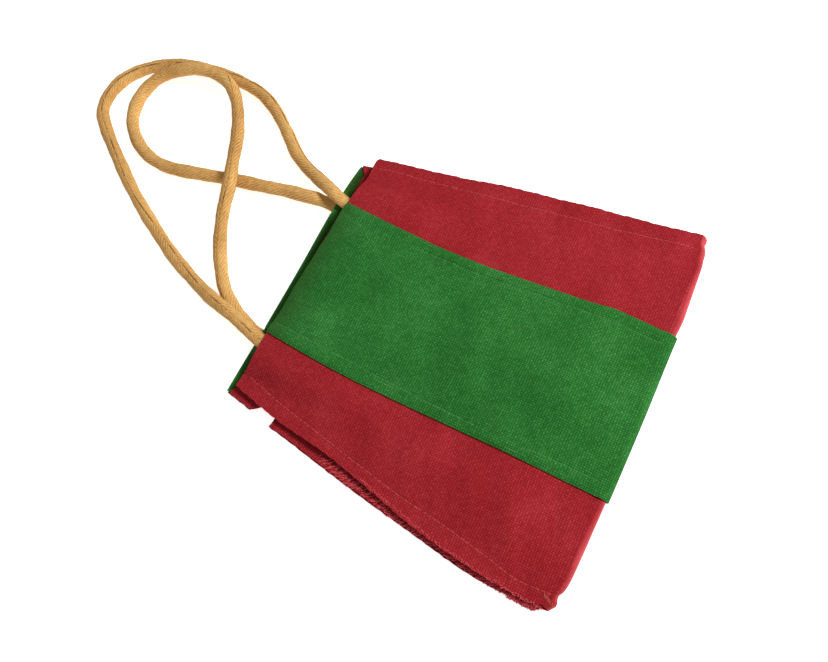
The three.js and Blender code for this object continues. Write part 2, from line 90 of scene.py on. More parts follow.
BACK_TOP = BODY_CLOTH
PRESSED_HEIGHT = ROPE_SOLID * ROPE_PRESSED
BACK_END_Z = BACK_TOP + ROPE_GAP + PRESSED_HEIGHT / 2
BACK_FACING_FLAT = BACK_TOP + GAP + TRIM_CLOTH / 2
BACK_FACING_RAISED = BACK_END_Z + PRESSED_HEIGHT / 2 + GAP + TRIM_CLOTH / 2
FRONT_FACING_RAISED = BACK_FACING_RAISED + TRIM_CLOTH + GAP
FRONT_END_Z = FRONT_FACING_RAISED + TRIM_CLOTH / 2 + ROPE_GAP + PRESSED_HEIGHT / 2
HEM_TOP = FRONT_END_Z + PRESSED_HEIGHT / 2 + ROPE_GAP + BODY_CLOTH
FOLD_HEIGHT = FOLD_RADIUS + BODY_CLOTH / 2
print("front hem's top at", round(HEM_TOP * 1000, 1), "mm")

# %% [markdown]
# ## Handles
# Each handle is a soft rope wrapped lengthwise in twill tape: diagonal ribs all along, and one
# lapped seam that wanders round it. A curve with a round bevel would be smooth, so each handle is
# a tube built ring by ring along its route, with the ribs and the seam in its real surface.

# %% Handle routes
ROPE_REST = 0.0066  # height of a rope's middle where it lies on the floor
CURVE_SAMPLES = 60  # between two points of a route
FRONT_ROUTE = [  # x and y, then z where the rope is off the floor
    (0.0704, 0.1135, FRONT_END_Z), (0.0712, 0.1300, FRONT_END_Z), (0.0724, 0.1470, FRONT_END_Z),
    (0.0772, 0.1630, 0.0172), (0.0837, 0.1790, 0.0146), (0.0946, 0.2046, 0.0086),
    (0.1051, 0.2231), (0.1224, 0.2440), (0.1420, 0.2700), (0.1532, 0.2928), (0.1579, 0.3178),
    (0.1590, 0.3453), (0.1564, 0.3788), (0.1486, 0.4030), (0.1368, 0.4235), (0.1212, 0.4379),
    (0.1056, 0.4446), (0.0876, 0.4455), (0.0714, 0.4403), (0.0566, 0.4260), (0.0407, 0.4057),
    (0.0257, 0.3848), (0.0106, 0.3633), (-0.0048, 0.3386), (-0.0243, 0.3040), (-0.0376, 0.2780),
    (-0.0478, 0.2530, 0.0072), (-0.0548, 0.2337, 0.0104), (-0.0608, 0.2142, 0.0160),
    (-0.0658, 0.1924, 0.0196), (-0.0704, 0.1744, 0.0188), (-0.0756, 0.1550, FRONT_END_Z),
    (-0.0770, 0.1360, FRONT_END_Z), (-0.0774, 0.1195, FRONT_END_Z),
]
BACK_ROUTE = [
    (0.0706, 0.1305, BACK_END_Z), (0.0707, 0.1460, BACK_END_Z), (0.0707, 0.1660, BACK_END_Z),
    (0.0704, 0.1800, 0.0065), (0.0684, 0.1943), (0.0668, 0.2095), (0.0623, 0.2337),
    (0.0570, 0.2637), (0.0489, 0.3024), (0.0433, 0.3312), (0.0429, 0.3500), (0.0472, 0.3682),
    (0.0570, 0.3864), (0.0734, 0.4030), (0.0934, 0.4114), (0.1136, 0.4108, 0.0078),
    (0.1302, 0.4010, 0.0114), (0.1412, 0.3826, 0.0162), (0.1473, 0.3660, 0.0186),
    (0.1498, 0.3473, 0.0190), (0.1466, 0.3263, 0.0176), (0.1346, 0.3099, 0.0150),
    (0.1145, 0.2955, 0.0132), (0.0939, 0.2834, 0.0152), (0.0682, 0.2708, 0.0194),
    (0.0436, 0.2592, 0.0212), (0.0216, 0.2540, 0.0162), (0.0057, 0.2496, 0.0103),
    (-0.0102, 0.2422, 0.0074), (-0.0256, 0.2320), (-0.0404, 0.2202), (-0.0495, 0.2103),
    (-0.0593, 0.1952), (-0.0660, 0.1787, 0.0062), (-0.0700, 0.1652, BACK_END_Z),
    (-0.0712, 0.1460, BACK_END_Z), (-0.0716, 0.1305, BACK_END_Z),
]


def cubic(t, start, leave, end, arrive):
    """From start to end with the given slopes at both, at shares t of the way."""
    return (start * (2 * t**3 - 3 * t**2 + 1) + leave * (t**3 - 2 * t**2 + t)
            + end * (3 * t**2 - 2 * t**3) + arrive * (t**3 - t**2))


def smooth_route(points, step):
    """Points every step along the centripetal curve through the route."""
    p = np.array([(*point, ROPE_REST)[:3] for point in points])
    p = np.vstack([2 * p[0] - p[1], p, 2 * p[-1] - p[-2]])
    t = np.linspace(0, 1, CURVE_SAMPLES, endpoint=False)[:, None]
    fine = []
    for before, start, end, after in zip(p, p[1:], p[2:], p[3:]):
        pairs = ((before, start), (start, end), (end, after))
        a, b, c = (np.linalg.norm(second - first) ** 0.5 for first, second in pairs)
        leave = ((start - before) / a - (end - before) / (a + b) + (end - start) / b) * b
        arrive = ((end - start) / b - (after - start) / (b + c) + (after - end) / c) * b
        fine.append(cubic(t, start, leave, end, arrive))
    line = np.vstack([*fine, p[-2:-1]])
    along = np.concatenate([[0], np.cumsum(np.linalg.norm(np.diff(line, axis=0), axis=1))])
    even = np.linspace(0, along[-1], round(along[-1] / step) + 1)
    return np.column_stack([np.interp(even, along, line[:, k]) for k in range(3)]), even


# %% [markdown]
# ## Curves through tables
# The outline and the heights of the bag come from short tables. One helper turns a table's column
# into a smooth curve, and another gives the soft step that fades one shape into the next.

# %% Curves through tables
def curve_through(rows, column):
    """Smooth curve through the rows' first number and the given column, level past its ends."""
    table = np.array(rows, float)
    at, value = table[:, 0], table[:, column]
    after = np.minimum(np.arange(len(at)) + 1, len(at) - 1)
    before = np.maximum(np.arange(len(at)) - 1, 0)
    slope = (value[after] - value[before]) / (at[after] - at[before])

    def curve(place):
        place = np.clip(place, at[0], at[-1])
        i = np.clip(np.searchsorted(at, place, side="right") - 1, 0, len(at) - 2)
        span = at[i + 1] - at[i]
        return cubic((place - at[i]) / span, value[i], slope[i] * span,
                     value[i + 1], slope[i + 1] * span)

    return curve


def soft_step(value, low, high):
    t = np.clip((value - low) / (high - low), 0, 1)
    return t * t * (3 - 2 * t)


def blend_to(start, end, share):
    return start + (end - start) * share


# %% Outline tables: along the bag, then the front and back panels' edges
PANEL_EDGES = [
    (-0.1640, -0.1650, 0.1704, -0.1675, 0.1650),
    (-0.1400, -0.1670, 0.1672, -0.1705, 0.1635),
    (-0.1000, -0.1650, 0.1635, -0.1695, 0.1600),
    (-0.0500, -0.1585, 0.1586, -0.1632, 0.1530),
    (0.0000, -0.1475, 0.1530, -0.1563, 0.1450),
    (0.0500, -0.1370, 0.1445, -0.1484, 0.1375),
    (0.1000, -0.1305, 0.1365, -0.1395, 0.1305),
    (0.1500, -0.1195, 0.1302, -0.1297, 0.1225),
    (0.1640, -0.1165, 0.1287, -0.1274, 0.1205),
]
END_LINES = [  # across the bag, then the base edge, the front mouth and the back mouth
    (-0.1700, -0.1515, 0.1566, 0.1636),
    (-0.1580, -0.1553, 0.1566, 0.1636),
    (-0.1430, -0.1590, 0.1566, 0.1636),
    (-0.1200, -0.1602, 0.1562, 0.1635),
    (-0.1100, -0.1605, 0.1551, 0.1634),
    (-0.1000, -0.1607, 0.1529, 0.1633),
    (-0.0900, -0.1610, 0.1516, 0.1631),
    (-0.0600, -0.1617, 0.1505, 0.1625),
    (0.0000, -0.1625, 0.1496, 0.1622),
    (0.0700, -0.1627, 0.1456, 0.1630),
    (0.0900, -0.1639, 0.1445, 0.1623),
    (0.1040, -0.1634, 0.1438, 0.1613),
    (0.1250, -0.1624, 0.1466, 0.1591),
    (0.1500, -0.1609, 0.1468, 0.1564),
    (0.1700, -0.1568, 0.1468, 0.1564),
]
FRONT_HEIGHTS = [  # along the bag, then the front's height over its middle and at its sides
    (-0.157, 0.0119, 0.0119),
    (-0.148, 0.0118, 0.0112),
    (-0.128, 0.0132, 0.0102),
    (-0.095, 0.0146, 0.0098),
    (-0.040, 0.0136, 0.0094),
    (0.030, 0.0138, 0.0094),
    (0.085, 0.0174, 0.0098),
    (0.125, 0.0202, 0.0108),
    (0.146, 0.0186, 0.0106),
    (0.156, 0.0170, 0.0102),
]
SOFT_FOLDS = [  # x, y, half length, half width, turn in degrees, rise
    (-0.108, -0.096, 0.034, 0.015, 20, 0.0019),
    (-0.112, -0.134, 0.034, 0.011, 8, -0.0015),
    (0.152, -0.140, 0.024, 0.014, -30, 0.0024),
    (0.102, -0.128, 0.036, 0.015, -8, -0.0009),
    (0.018, 0.040, 0.060, 0.026, 65, 0.0009),
    (-0.035, 0.000, 0.050, 0.026, 40, -0.0008),
    (0.105, 0.040, 0.030, 0.024, 80, 0.0009),
    (0.128, -0.010, 0.040, 0.014, 85, -0.0006),
]
BAND_EDGES = [  # along the bag, then the band's edges
    (-0.1640, -0.0745, 0.0732),
    (-0.1180, -0.0741, 0.0748),
    (-0.1000, -0.0740, 0.0728),
    (-0.0750, -0.0735, 0.0712),
    (-0.0150, -0.0735, 0.0681),
    (0.0250, -0.0735, 0.0670),
    (0.0600, -0.0733, 0.0672),
    (0.0950, -0.0722, 0.0675),
    (0.1550, -0.0673, 0.0720),
]
front_left, front_right, back_left, back_right = (
    curve_through(PANEL_EDGES, k) for k in (1, 2, 3, 4))
base_line, front_mouth, back_mouth = (curve_through(END_LINES, k) for k in (1, 2, 3))
middle_height, edge_height = (curve_through(FRONT_HEIGHTS, k) for k in (1, 2))
band_left, band_right = (curve_through(BAND_EDGES, k) for k in (1, 2))
BASE, FRONT_MOUTH, BACK_MOUTH = float(base_line(0)), float(front_mouth(0)), float(back_mouth(0))

# %% [markdown]
# ## The twill wrapped rope
# The tape is a herringbone twill wrapped lengthwise, so its ribs lean steeply along the rope, one
# way on each half of the tape, and its one lapped edge shows as a lip with a groove beside it. The
# ring of points is left open at the lap, and the small step there is closed by a face of its own.

# %% Rope surface
ROPE_RADIUS = 0.00620
ROPE_SIDES = 84
ROPE_STEP = 0.0010
RIB_PITCH = 0.0048  # along the rope
RIB_HEIGHT = 0.00024
RIB_CLIMB = 0.066  # along the rope in one turn round it
RIB_FAINTEST = 0.35  # share of the ribs' height far from the lap
RIB_FADE = 1.3  # radians round the rope
SEAM_LIP = 0.00045
SEAM_LIP_WIDTH = 0.55  # radians
SEAM_GROOVE = 0.00060
SEAM_GROOVE_WIDTH = 0.13  # radians
LAP_WAVES = (0.083, 0.037)  # the lap opens and closes along the rope
LUMPS = [(0.00026, 0.061, 1.0), (0.00016, 0.023, 0.0), (0.00008, 0.0097, 0.0)]
FLOOR_CLEAR = 0.0001
SMOOTH_UNDER = math.radians(50)  # sharper edges than this stay sharp
FRONT_SEAM = [  # share of the rope's length, then the lap's place in degrees round it
    (0.00, 55), (0.14, 58), (0.20, 48), (0.28, 30), (0.34, 0), (0.42, -14), (0.50, -8),
    (0.56, -14), (0.62, -4), (0.68, 8), (0.76, -25), (0.84, -5), (1.00, 10),
]
BACK_SEAM = [
    (0.00, -95), (0.24, -100), (0.30, -130), (0.36, -165), (0.42, -165), (0.48, -135),
    (0.52, -95), (0.56, -45), (0.59, 5), (0.62, 15), (0.66, 8), (0.72, -2), (0.76, 0),
    (0.80, 7), (0.84, 19), (0.88, 38), (1.00, 60),
]


def new_mesh_piece(name, points, faces, flat):
    """A mesh object whose UV map holds, in metres, each point's place on the flat material."""
    mesh = bpy.data.meshes.new(name)
    mesh.from_pydata([tuple(p) for p in points], [], faces)
    layer = mesh.uv_layers.new(name="flat")
    corner_points = np.empty(len(mesh.loops), int)
    mesh.loops.foreach_get("vertex_index", corner_points)
    layer.data.foreach_set("uv", np.asarray(flat, float)[corner_points].ravel())
    mesh.shade_smooth()
    piece = bpy.data.objects.new(name, mesh)
    bpy.context.scene.collection.objects.link(piece)
    return piece


def select_only(piece):
    bpy.ops.object.select_all(action="DESELECT")
    bpy.context.view_layer.objects.active = piece
    piece.select_set(True)


def rope(name, route, mouth, seam_table, lean):
    """A handle's tube; its ribs lean one way or the other on the half of the tape that shows."""
    line, along = smooth_route(route, ROPE_STEP)
    tangent = np.gradient(line, axis=0)
    tangent /= np.linalg.norm(tangent, axis=1)[:, None]
    up = np.tile((0.0, 0.0, 1.0), (len(line), 1))
    up -= tangent * (up * tangent).sum(axis=1)[:, None]
    up /= np.linalg.norm(up, axis=1)[:, None]
    side = np.cross(tangent, up)
    seam = np.radians(curve_through(seam_table, 1)(along / along[-1]))
    turn = np.linspace(0, 2 * np.pi, ROPE_SIDES + 1)
    angle = seam[:, None] + turn[None, :]
    from_lap = np.abs(turn - np.pi)
    climb = along[:, None] + lean * (RIB_CLIMB * from_lap / (2 * np.pi))[None, :]
    to_lap = 2 * np.pi - turn
    near_lap = RIB_FAINTEST + (1 - RIB_FAINTEST) * np.exp(-((to_lap / RIB_FADE) ** 2))
    ribs = RIB_HEIGHT * near_lap[None, :] * (0.5 + 0.5 * np.cos(2 * np.pi * climb / RIB_PITCH))
    long_wave, short_wave = (2 * np.pi * along / length for length in LAP_WAVES)
    open_lap = (0.55 + 0.45 * np.sin(long_wave + 1.3 * np.sin(short_wave)))[:, None]
    lip = SEAM_LIP * np.exp(-((turn / SEAM_LIP_WIDTH) ** 2))[None, :] * open_lap
    groove = SEAM_GROOVE * np.exp(-((to_lap / SEAM_GROOVE_WIDTH) ** 2))[None, :] * open_lap
    lumps = sum(rise * np.sin(2 * np.pi * along / length + shift) for rise, length, shift in LUMPS)
    radius = ROPE_RADIUS + ribs + lip - groove + lumps[:, None]
    past = line[:, 1] - mouth(line[:, 0])
    pressed = ROPE_PRESSED * ROPE_SOLID / 2 / (ROPE_RADIUS + RIB_HEIGHT + SEAM_LIP)
    height = blend_to(pressed, 1, soft_step(past, PRESS_END, PRESS_END + PRESS_FADE))
    ring = (up[:, None, :] * (np.cos(angle) * radius)[..., None]
            + side[:, None, :] * (np.sin(angle) * radius)[..., None])
    ring[..., 2] *= height[:, None]
    points = (line[:, None, :] + ring).reshape(-1, 3)
    points[:, 2] = np.maximum(points[:, 2], FLOOR_CLEAR)
    count, width = len(line), ROPE_SIDES + 1
    flat = np.stack(np.broadcast_arrays(turn[None, :] / (2 * np.pi), lean * climb), axis=-1)
    faces = []
    for i in range(count - 1):
        for j in range(width):
            k = (j + 1) % width
            faces.append((i * width + j, i * width + k, (i + 1) * width + k, (i + 1) * width + j))
    faces.append(tuple(range(width))[::-1])
    faces.append(tuple((count - 1) * width + j for j in range(width)))
    piece = new_mesh_piece(name, points, faces, flat.reshape(-1, 2))
    select_only(piece)
    bpy.ops.object.shade_smooth_by_angle(angle=SMOOTH_UNDER)
    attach(piece, "root")
    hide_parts(name.replace("_rope", ""))
    tuple(line[0])
    return piece


front_rope = rope("handle_front_rope", FRONT_ROUTE, front_mouth, FRONT_SEAM, lean=1)
back_rope = rope("handle_back_rope", BACK_ROUTE, back_mouth, BACK_SEAM, lean=-1)

# %% [markdown]
# ## The front's shape
# The front panel rests on the folded gussets and swells over the two rope ends in its hem. Its
# height is one function of the place on the bag, used for every cloth that lies on or under it, so
# the layers keep their distance. Small waves make the cloth as uneven as real jute.

# %% Height of the front
FRONT_ENDS = (-0.0765, 0.0710)
BACK_ENDS = (-0.0713, 0.0706)
EDGE_RISE = 0.058
BASE_CALM = (0.008, 0.030)
HEM_LIFT_REACH = 0.095
HEM_LIFT_FLAT = 0.009
HEM_LIFT_SPREAD = 0.034
FACING_SPREAD = 0.018
WAVE_SIZES = [  # length, then rise
    (0.071, 0.00034), (0.058, 0.00030), (0.043, 0.00026), (0.036, 0.00022), (0.027, 0.00016),
    (0.022, 0.00013), (0.016, 0.00009), (0.012, 0.00006), (0.009, 0.00004),
]
wave_random = random.Random(11)
WAVES = [
    (wave_random.uniform(0, math.pi), length, rise, wave_random.uniform(0, 2 * math.pi))
    for length, rise in WAVE_SIZES
]


def small_waves(x, y):
    total = 0.0
    for turn, length, rise, shift in WAVES:
        total = total + rise * np.sin(
            2 * np.pi * (x * math.cos(turn) + y * math.sin(turn)) / length + shift)
    return total


def over_ends(x, ends, spread):
    """1 over the pressed rope ends, falling to 0 beside them."""
    lifts = [1 - soft_step(np.abs(x - end), HEM_LIFT_FLAT, spread) for end in ends]
    return np.maximum.reduce(lifts)


def soft_folds(x, y):
    total = 0.0
    for fold_x, fold_y, long, wide, turn, rise in SOFT_FOLDS:
        cos, sin = math.cos(math.radians(turn)), math.sin(math.radians(turn))
        along = ((x - fold_x) * cos + (y - fold_y) * sin) / long
        across = ((y - fold_y) * cos - (x - fold_x) * sin) / wide
        total = total + rise * np.exp(-(along**2) - across**2)
    return total


def front_top(x, y):
    """Upper face of the front panel."""
    inside = np.minimum(x - front_left(y), front_right(y) - x)
    shape = blend_to(edge_height(y), middle_height(y), soft_step(inside, 0, EDGE_RISE))
    calm = soft_step(y - base_line(x), *BASE_CALM)
    crumpled = shape + (soft_folds(x, y) + small_waves(x, y)) * calm
    fade = 1 - soft_step(front_mouth(x) - y, HANDLE_HIDDEN + 0.002, HEM_LIFT_REACH)
    return blend_to(crumpled, HEM_TOP, fade * over_ends(x, FRONT_ENDS, HEM_LIFT_SPREAD))


# %% [markdown]
# ## Seams
# Each side seam and each edge of the band is sewn with one row of stitches, which pulls the cloth
# down into a soft groove and puckers it. The rows are read off the bag as short tables.

# %% Seams
SEAM_LINES = {  # along the bag, then across it
    "red_upper": [
        (-0.150, 0.1555), (-0.095, 0.1485), (-0.030, 0.1410), (0.061, 0.1300), (0.148, 0.1190)],
    "red_lower": [
        (-0.149, -0.1550), (-0.122, -0.1568), (-0.097, -0.1523), (-0.053, -0.1452),
        (-0.013, -0.1405), (0.040, -0.1308), (0.082, -0.1226), (0.116, -0.1158), (0.152, -0.1066)],
    "green_upper": [
        (-0.154, 0.0622), (-0.118, 0.0630), (-0.068, 0.0613), (-0.020, 0.0592),
        (0.045, 0.0573), (0.100, 0.0600), (0.146, 0.0640)],
    "green_lower": [
        (-0.154, -0.0630), (-0.104, -0.0638), (-0.067, -0.0649), (0.040, -0.0620),
        (0.150, -0.0570)],
}
seam_lines = {name: curve_through(rows, 1) for name, rows in SEAM_LINES.items()}
GROOVE_DEPTH = 0.00022
GROOVE_WIDTH = 0.0013
PUCKER = 0.00016
PUCKER_PITCH = 0.0105
PUCKER_REACH = 0.0075
PUCKER_DRIFT = 0.021


def sewn_down(x, y, colour):
    """How the stitching pulls the cloth down, and puckers it nearby."""
    total = 0.0
    for shift, side in ((0.0, "upper"), (2.1, "lower")):
        off = x - seam_lines[f"{colour}_{side}"](y)
        total = total - GROOVE_DEPTH * np.exp(-((off / GROOVE_WIDTH) ** 2))
        wave = np.sin(2 * np.pi * y / PUCKER_PITCH + shift + 1.7 * np.sin(y / PUCKER_DRIFT))
        total = total + PUCKER * wave * np.exp(-((off / PUCKER_REACH) ** 2))
    return total


# %% [markdown]
# ## Cloth
# A cloth starts as a grid of points on its middle surface, with its place on the uncut, flat cloth
# in the UV map for the weave. Solidify then gives it its thickness on both sides.

# %% Cloth helpers
def cloth(name, rows, thickness, node, area):
    """A cloth from rows of middle points, outer side up on the front.

    A row is x, y, z and the places across and along the flat cloth; one number fills a row."""
    table = np.array([np.column_stack(np.broadcast_arrays(*row)) for row in rows])
    count, across = table.shape[:2]
    faces = []
    for i in range(count - 1):
        for j in range(across - 1):
            a = i * across + j
            faces.append((a, a + across, a + across + 1, a + 1))
    points, flat = table[..., :3].reshape(-1, 3), table[..., 3:].reshape(-1, 2)
    piece = new_mesh_piece(name, points, faces, flat)
    select_only(piece)
    solid = piece.modifiers.new("solidify", "SOLIDIFY")
    solid.thickness, solid.offset = thickness, 0.0
    bpy.ops.object.modifier_apply(modifier=solid.name)
    bpy.ops.object.shade_smooth_by_angle(angle=SMOOTH_UNDER)
    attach(piece, "root")
    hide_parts(node)
    print(name, "has", len(piece.data.polygons) * 2, "triangles")
    return piece


# %% [markdown]
# ## Body cloth
# Front panel, base fold and back panel are one length of red jute. The rows run from the front
# mouth to the base, round the fold and back along the floor.

# %% Body cloth
BODY_ACROSS = 190  # points in a row
FRONT_ROWS, FOLD_ROWS, BACK_ROWS = 130, 16, 70
NOTCH_DEPTH = 0.0110  # the clipped notch reaches in to the seam
NOTCH_FROM = (0.1091, 0.1090)  # its near side, at the edge and at the seam
NOTCH_TO = (0.1363, 0.1240)  # and its far side
NOTCH_SLANT = 0.0036  # the near side reaches this much further at the edge
SLANT_START = 0.085
NOTCH_ROWS = (0.1089, 0.1092, 0.1238, 0.1242, 0.1270, 0.1300, 0.1330, 0.1361, 0.1365)
CORNER_RADIUS = 0.0042  # of the front panel's upper corner at the mouth
LOWER_CORNER = 0.15  # rounding of the lower corner against the upper one's
CORNER_ROWS = (0.0003, 0.0007, 0.0012, 0.0019, 0.0029, 0.0042)
KNOB = (-0.1608, 0.0034, 0.0020)  # along the base fold: place, half width and rise
DENTS = [(-0.1535, 0.0032, 0.0012), (0.1622, 0.0030, 0.0013), (0.1490, 0.0030, 0.0004)]
RIPPLES = [(0.00022, 0.0087, 1), (0.00016, 0.0153, 2)]  # rise, length, share of the shift
FOLD_LINE = BASE + FOLD_HEIGHT


def notch_inset(y):
    """How far the clipped notch cuts into the seam allowance that lies on the back panel."""
    near = np.clip((NOTCH_FROM[0] - y) / (NOTCH_FROM[0] - NOTCH_FROM[1]), 0, 1)
    far = np.clip((y - NOTCH_TO[1]) / (NOTCH_TO[0] - NOTCH_TO[1]), 0, 1)
    opened = (y > NOTCH_FROM[1]) * (y < NOTCH_TO[0]) * 1.0
    return NOTCH_DEPTH * opened * (1 - far) * (1 - near)


def notch_slant(y, outwards):
    """Draws the rows before the notch towards it at the edge, so that its near side is slanted."""
    before = soft_step(y, SLANT_START, NOTCH_FROM[1]) * (y < NOTCH_FROM[0])
    return NOTCH_SLANT * np.clip(outwards, 0, 1) * before


def base_edge(x):
    """The base fold with its knob and dents."""
    place, wide, rise = KNOB
    line = base_line(x) - rise * np.exp(-(((x - place) / wide) ** 2))
    for place, wide, depth in DENTS:
        line = line + depth * np.exp(-(((x - place) / wide) ** 2))
    return line


def edge_ripple(y, shift):
    """The raw side edges are a little scalloped by their overcasting."""
    return sum(rise * np.sin(2 * np.pi * y / length + share * shift)
               for rise, length, share in RIPPLES)


def corner_inset(deep):
    """Rounds the mouth corner: how far the side edge draws in, so deep below the mouth."""
    left_over = np.clip(CORNER_RADIUS - deep, 0, CORNER_RADIUS)
    return CORNER_RADIUS - np.sqrt(CORNER_RADIUS**2 - left_over**2)


def edge_share(count, edge_zone=0.16, edge_part=0.30):
    """Shares from 0 to 1, closer together near both ends."""
    knots = [0, edge_part, 1 - edge_part, 1]
    return np.interp(np.linspace(0, 1, count), knots, [0, edge_zone, 1 - edge_zone, 1])


def rows_between(start, end, count, extra):
    """Even shares from start to end, with the extra places added."""
    shares = [(place - start) / (end - start) for place in extra]
    return np.unique(np.concatenate([np.linspace(0, 1, count), shares]))


def body_rows():
    across = edge_share(BODY_ACROSS)
    near_mouth = [FRONT_MOUTH - deep for deep in CORNER_ROWS]
    for v in rows_between(BASE, FRONT_MOUTH, FRONT_ROWS, near_mouth)[::-1]:
        nominal = blend_to(BASE, FRONT_MOUTH, v)
        rounding = corner_inset(FRONT_MOUTH - nominal)
        left = front_left(nominal) - edge_ripple(nominal, 0.4) + LOWER_CORNER * rounding
        right = front_right(nominal) + edge_ripple(nominal, 2.0) - rounding
        x = blend_to(left, right, across)
        y = blend_to(base_edge(x) + FOLD_HEIGHT, front_mouth(x), v)
        yield x, y, front_top(x, y) + sewn_down(x, y, "red") - BODY_CLOTH / 2, x, y
    front = blend_to(front_left(BASE), front_right(BASE), across)
    back = blend_to(back_left(BASE), back_right(BASE), across)
    for share in np.linspace(0, 1, FOLD_ROWS)[1:-1]:
        angle = math.pi * share
        x = blend_to(front, back, share)
        y = base_edge(x) + FOLD_HEIGHT - FOLD_RADIUS * math.sin(angle)
        z = FOLD_HEIGHT + FOLD_RADIUS * math.cos(angle)
        yield x, y, z, x, FOLD_LINE - FOLD_RADIUS * angle
    for v in rows_between(BASE, BACK_MOUTH, BACK_ROWS, NOTCH_ROWS):
        nominal = blend_to(BASE, BACK_MOUTH, v)
        cut = notch_inset(nominal)
        left, right = back_left(nominal) - edge_ripple(nominal, 1.1), back_right(nominal)
        x = blend_to(left + cut, right - cut, across)
        y = blend_to(base_edge(x) + FOLD_HEIGHT, back_mouth(x), v)
        y = y + notch_slant(nominal, 1 - np.minimum(x - left, right - x) / NOTCH_DEPTH)
        yield x, y, BODY_CLOTH / 2, x, FOLD_LINE - math.pi * FOLD_RADIUS - (y - FOLD_LINE)


body = cloth("body_cloth_jute", body_rows(), BODY_CLOTH, "body_cloth",
             area=0.1915)

# %% [markdown]
# ## Centre band
# The band lies on the front and goes round the base fold, a little below the fold's outermost line.

# %% Centre band
BAND_ACROSS, BAND_ROWS, BAND_FOLD_ROWS = 120, 130, 12
BAND_WRAP = 42  # degrees below the fold's outermost line
BAND_LIFT = CRUMPLED_GAP + TRIM_CLOTH / 2
TURNED_UNDER = 0.0098  # the band's edges are turned under by this much
TURN_RISE = 0.0005
TURN_SLOPE = 0.0022
EDGE_DROP = 0.0009  # the sewn edges lean down to the front
EDGE_DROP_REACH = 0.0035
EDGE_DROP_FADE = 0.03  # and less so in this share of it, next to the fold


def band_rows():
    across = edge_share(BAND_ACROSS, edge_zone=0.12)
    for v in np.linspace(1, 0, BAND_ROWS):
        nominal = blend_to(BASE, FRONT_MOUTH, v)
        left, right = band_left(nominal), band_right(nominal)
        x = blend_to(left, right, across)
        y = blend_to(base_line(x) + FOLD_HEIGHT, front_mouth(x), v)
        inside = np.minimum(x - left, right - x)
        turned = TURN_RISE * (1 - soft_step(inside, TURNED_UNDER - TURN_SLOPE, TURNED_UNDER))
        leaning = (1 - soft_step(inside, 0, EDGE_DROP_REACH)) * soft_step(v, 0, EDGE_DROP_FADE)
        rise = BAND_LIFT + turned - EDGE_DROP * leaning
        yield x, y, front_top(x, y) + rise + sewn_down(x, y, "green"), x, y
    x = blend_to(band_left(BASE), band_right(BASE), across)
    reach = FOLD_HEIGHT + BAND_LIFT
    for share in np.linspace(0, 1, BAND_FOLD_ROWS)[1:]:
        angle = math.radians(90 + BAND_WRAP) * share
        y = base_line(x) + FOLD_HEIGHT - reach * math.sin(angle)
        yield x, y, FOLD_HEIGHT + reach * math.cos(angle), x, FOLD_LINE - reach * angle


band = cloth("centre_band_jute", band_rows(), TRIM_CLOTH, "centre_band",
             area=0.0468)

# %% [markdown]
# ## Facings
# A green strip lines each mouth edge. It lies flat on its panel and humps over the rope ends. The
# back one rolls over the mouth edge, which is the bright green line seen behind the front panel.
# Each facing is coloured a darker olive green as painted shade, and the roll is lifted to a lit
# green as a painted highlight.

# %% Facings
FACING_ACROSS, FACING_ROWS = 170, 26
FACING_DEPTH = 0.042
FACING_TOP = 0.0004  # its uppermost row lies so deep below the mouth
FACING_INSET = 0.0015
FACING_DRAWN = 0.004  # drawn in this far where it swells over a rope end
ROLL = [  # past the mouth edge, then drop
    (0.0004, 0.00010), (0.0007, 0.00035), (0.0009, 0.00075), (0.00095, 0.00125),
]


def facing_rows(left, right, mouth, ends, flat_height, raised, at_back):
    """Rows from the mouth inwards; the back one rolls over the edge and has the notch."""
    steps = [(deep, 0.0) for deep in np.linspace(FACING_DEPTH, FACING_TOP, FACING_ROWS)]
    if at_back:
        notch_deeps = [BACK_MOUTH - place for place in NOTCH_ROWS]
        steps += [(-past, drop) for past, drop in ROLL]
        steps += [(deep, 0.0) for deep in notch_deeps if deep < FACING_DEPTH]
    across = np.linspace(0, 1, FACING_ACROSS)
    for deep, drop in sorted(steps):
        nominal = float(mouth(0)) - deep
        inset = FACING_INSET + (notch_inset(nominal) if at_back else 0.0)
        x = blend_to(left(nominal) + inset, right(nominal) - inset, across)
        held_end = 1 - soft_step(deep, HANDLE_HIDDEN + 0.001, FACING_DEPTH)
        swell = over_ends(x, ends, FACING_SPREAD) * held_end
        y = mouth(x) - deep - FACING_DRAWN * swell
        z = blend_to(flat_height(x, y) - drop, raised, swell)
        yield x, y, z, x, BACK_MOUTH - deep + drop


def below_front(x, y):
    return front_top(x, y) - BODY_CLOTH - HEM_GAP - TRIM_CLOTH / 2


back_facing = cloth(
    "facing_back_jute",
    facing_rows(back_left, back_right, back_mouth, BACK_ENDS,
                lambda x, y: BACK_FACING_FLAT, BACK_FACING_RAISED, at_back=True),
    TRIM_CLOTH, "facing_back",
    area=0.0108)
front_facing = cloth(
    "facing_front_jute",
    facing_rows(front_left, front_right, front_mouth, FRONT_ENDS,
                below_front, FRONT_FACING_RAISED, at_back=False),
    TRIM_CLOTH, "facing_front",
    area=0.0108)

# %% [markdown]
# ## Gussets
# Each side is a folded strip: an allowance on the back panel, a leg inwards, a crease, a leg back
# out, and an allowance under the front panel. Its profile is the same all along, only its depth
# and height change, so it is lofted from one profile.

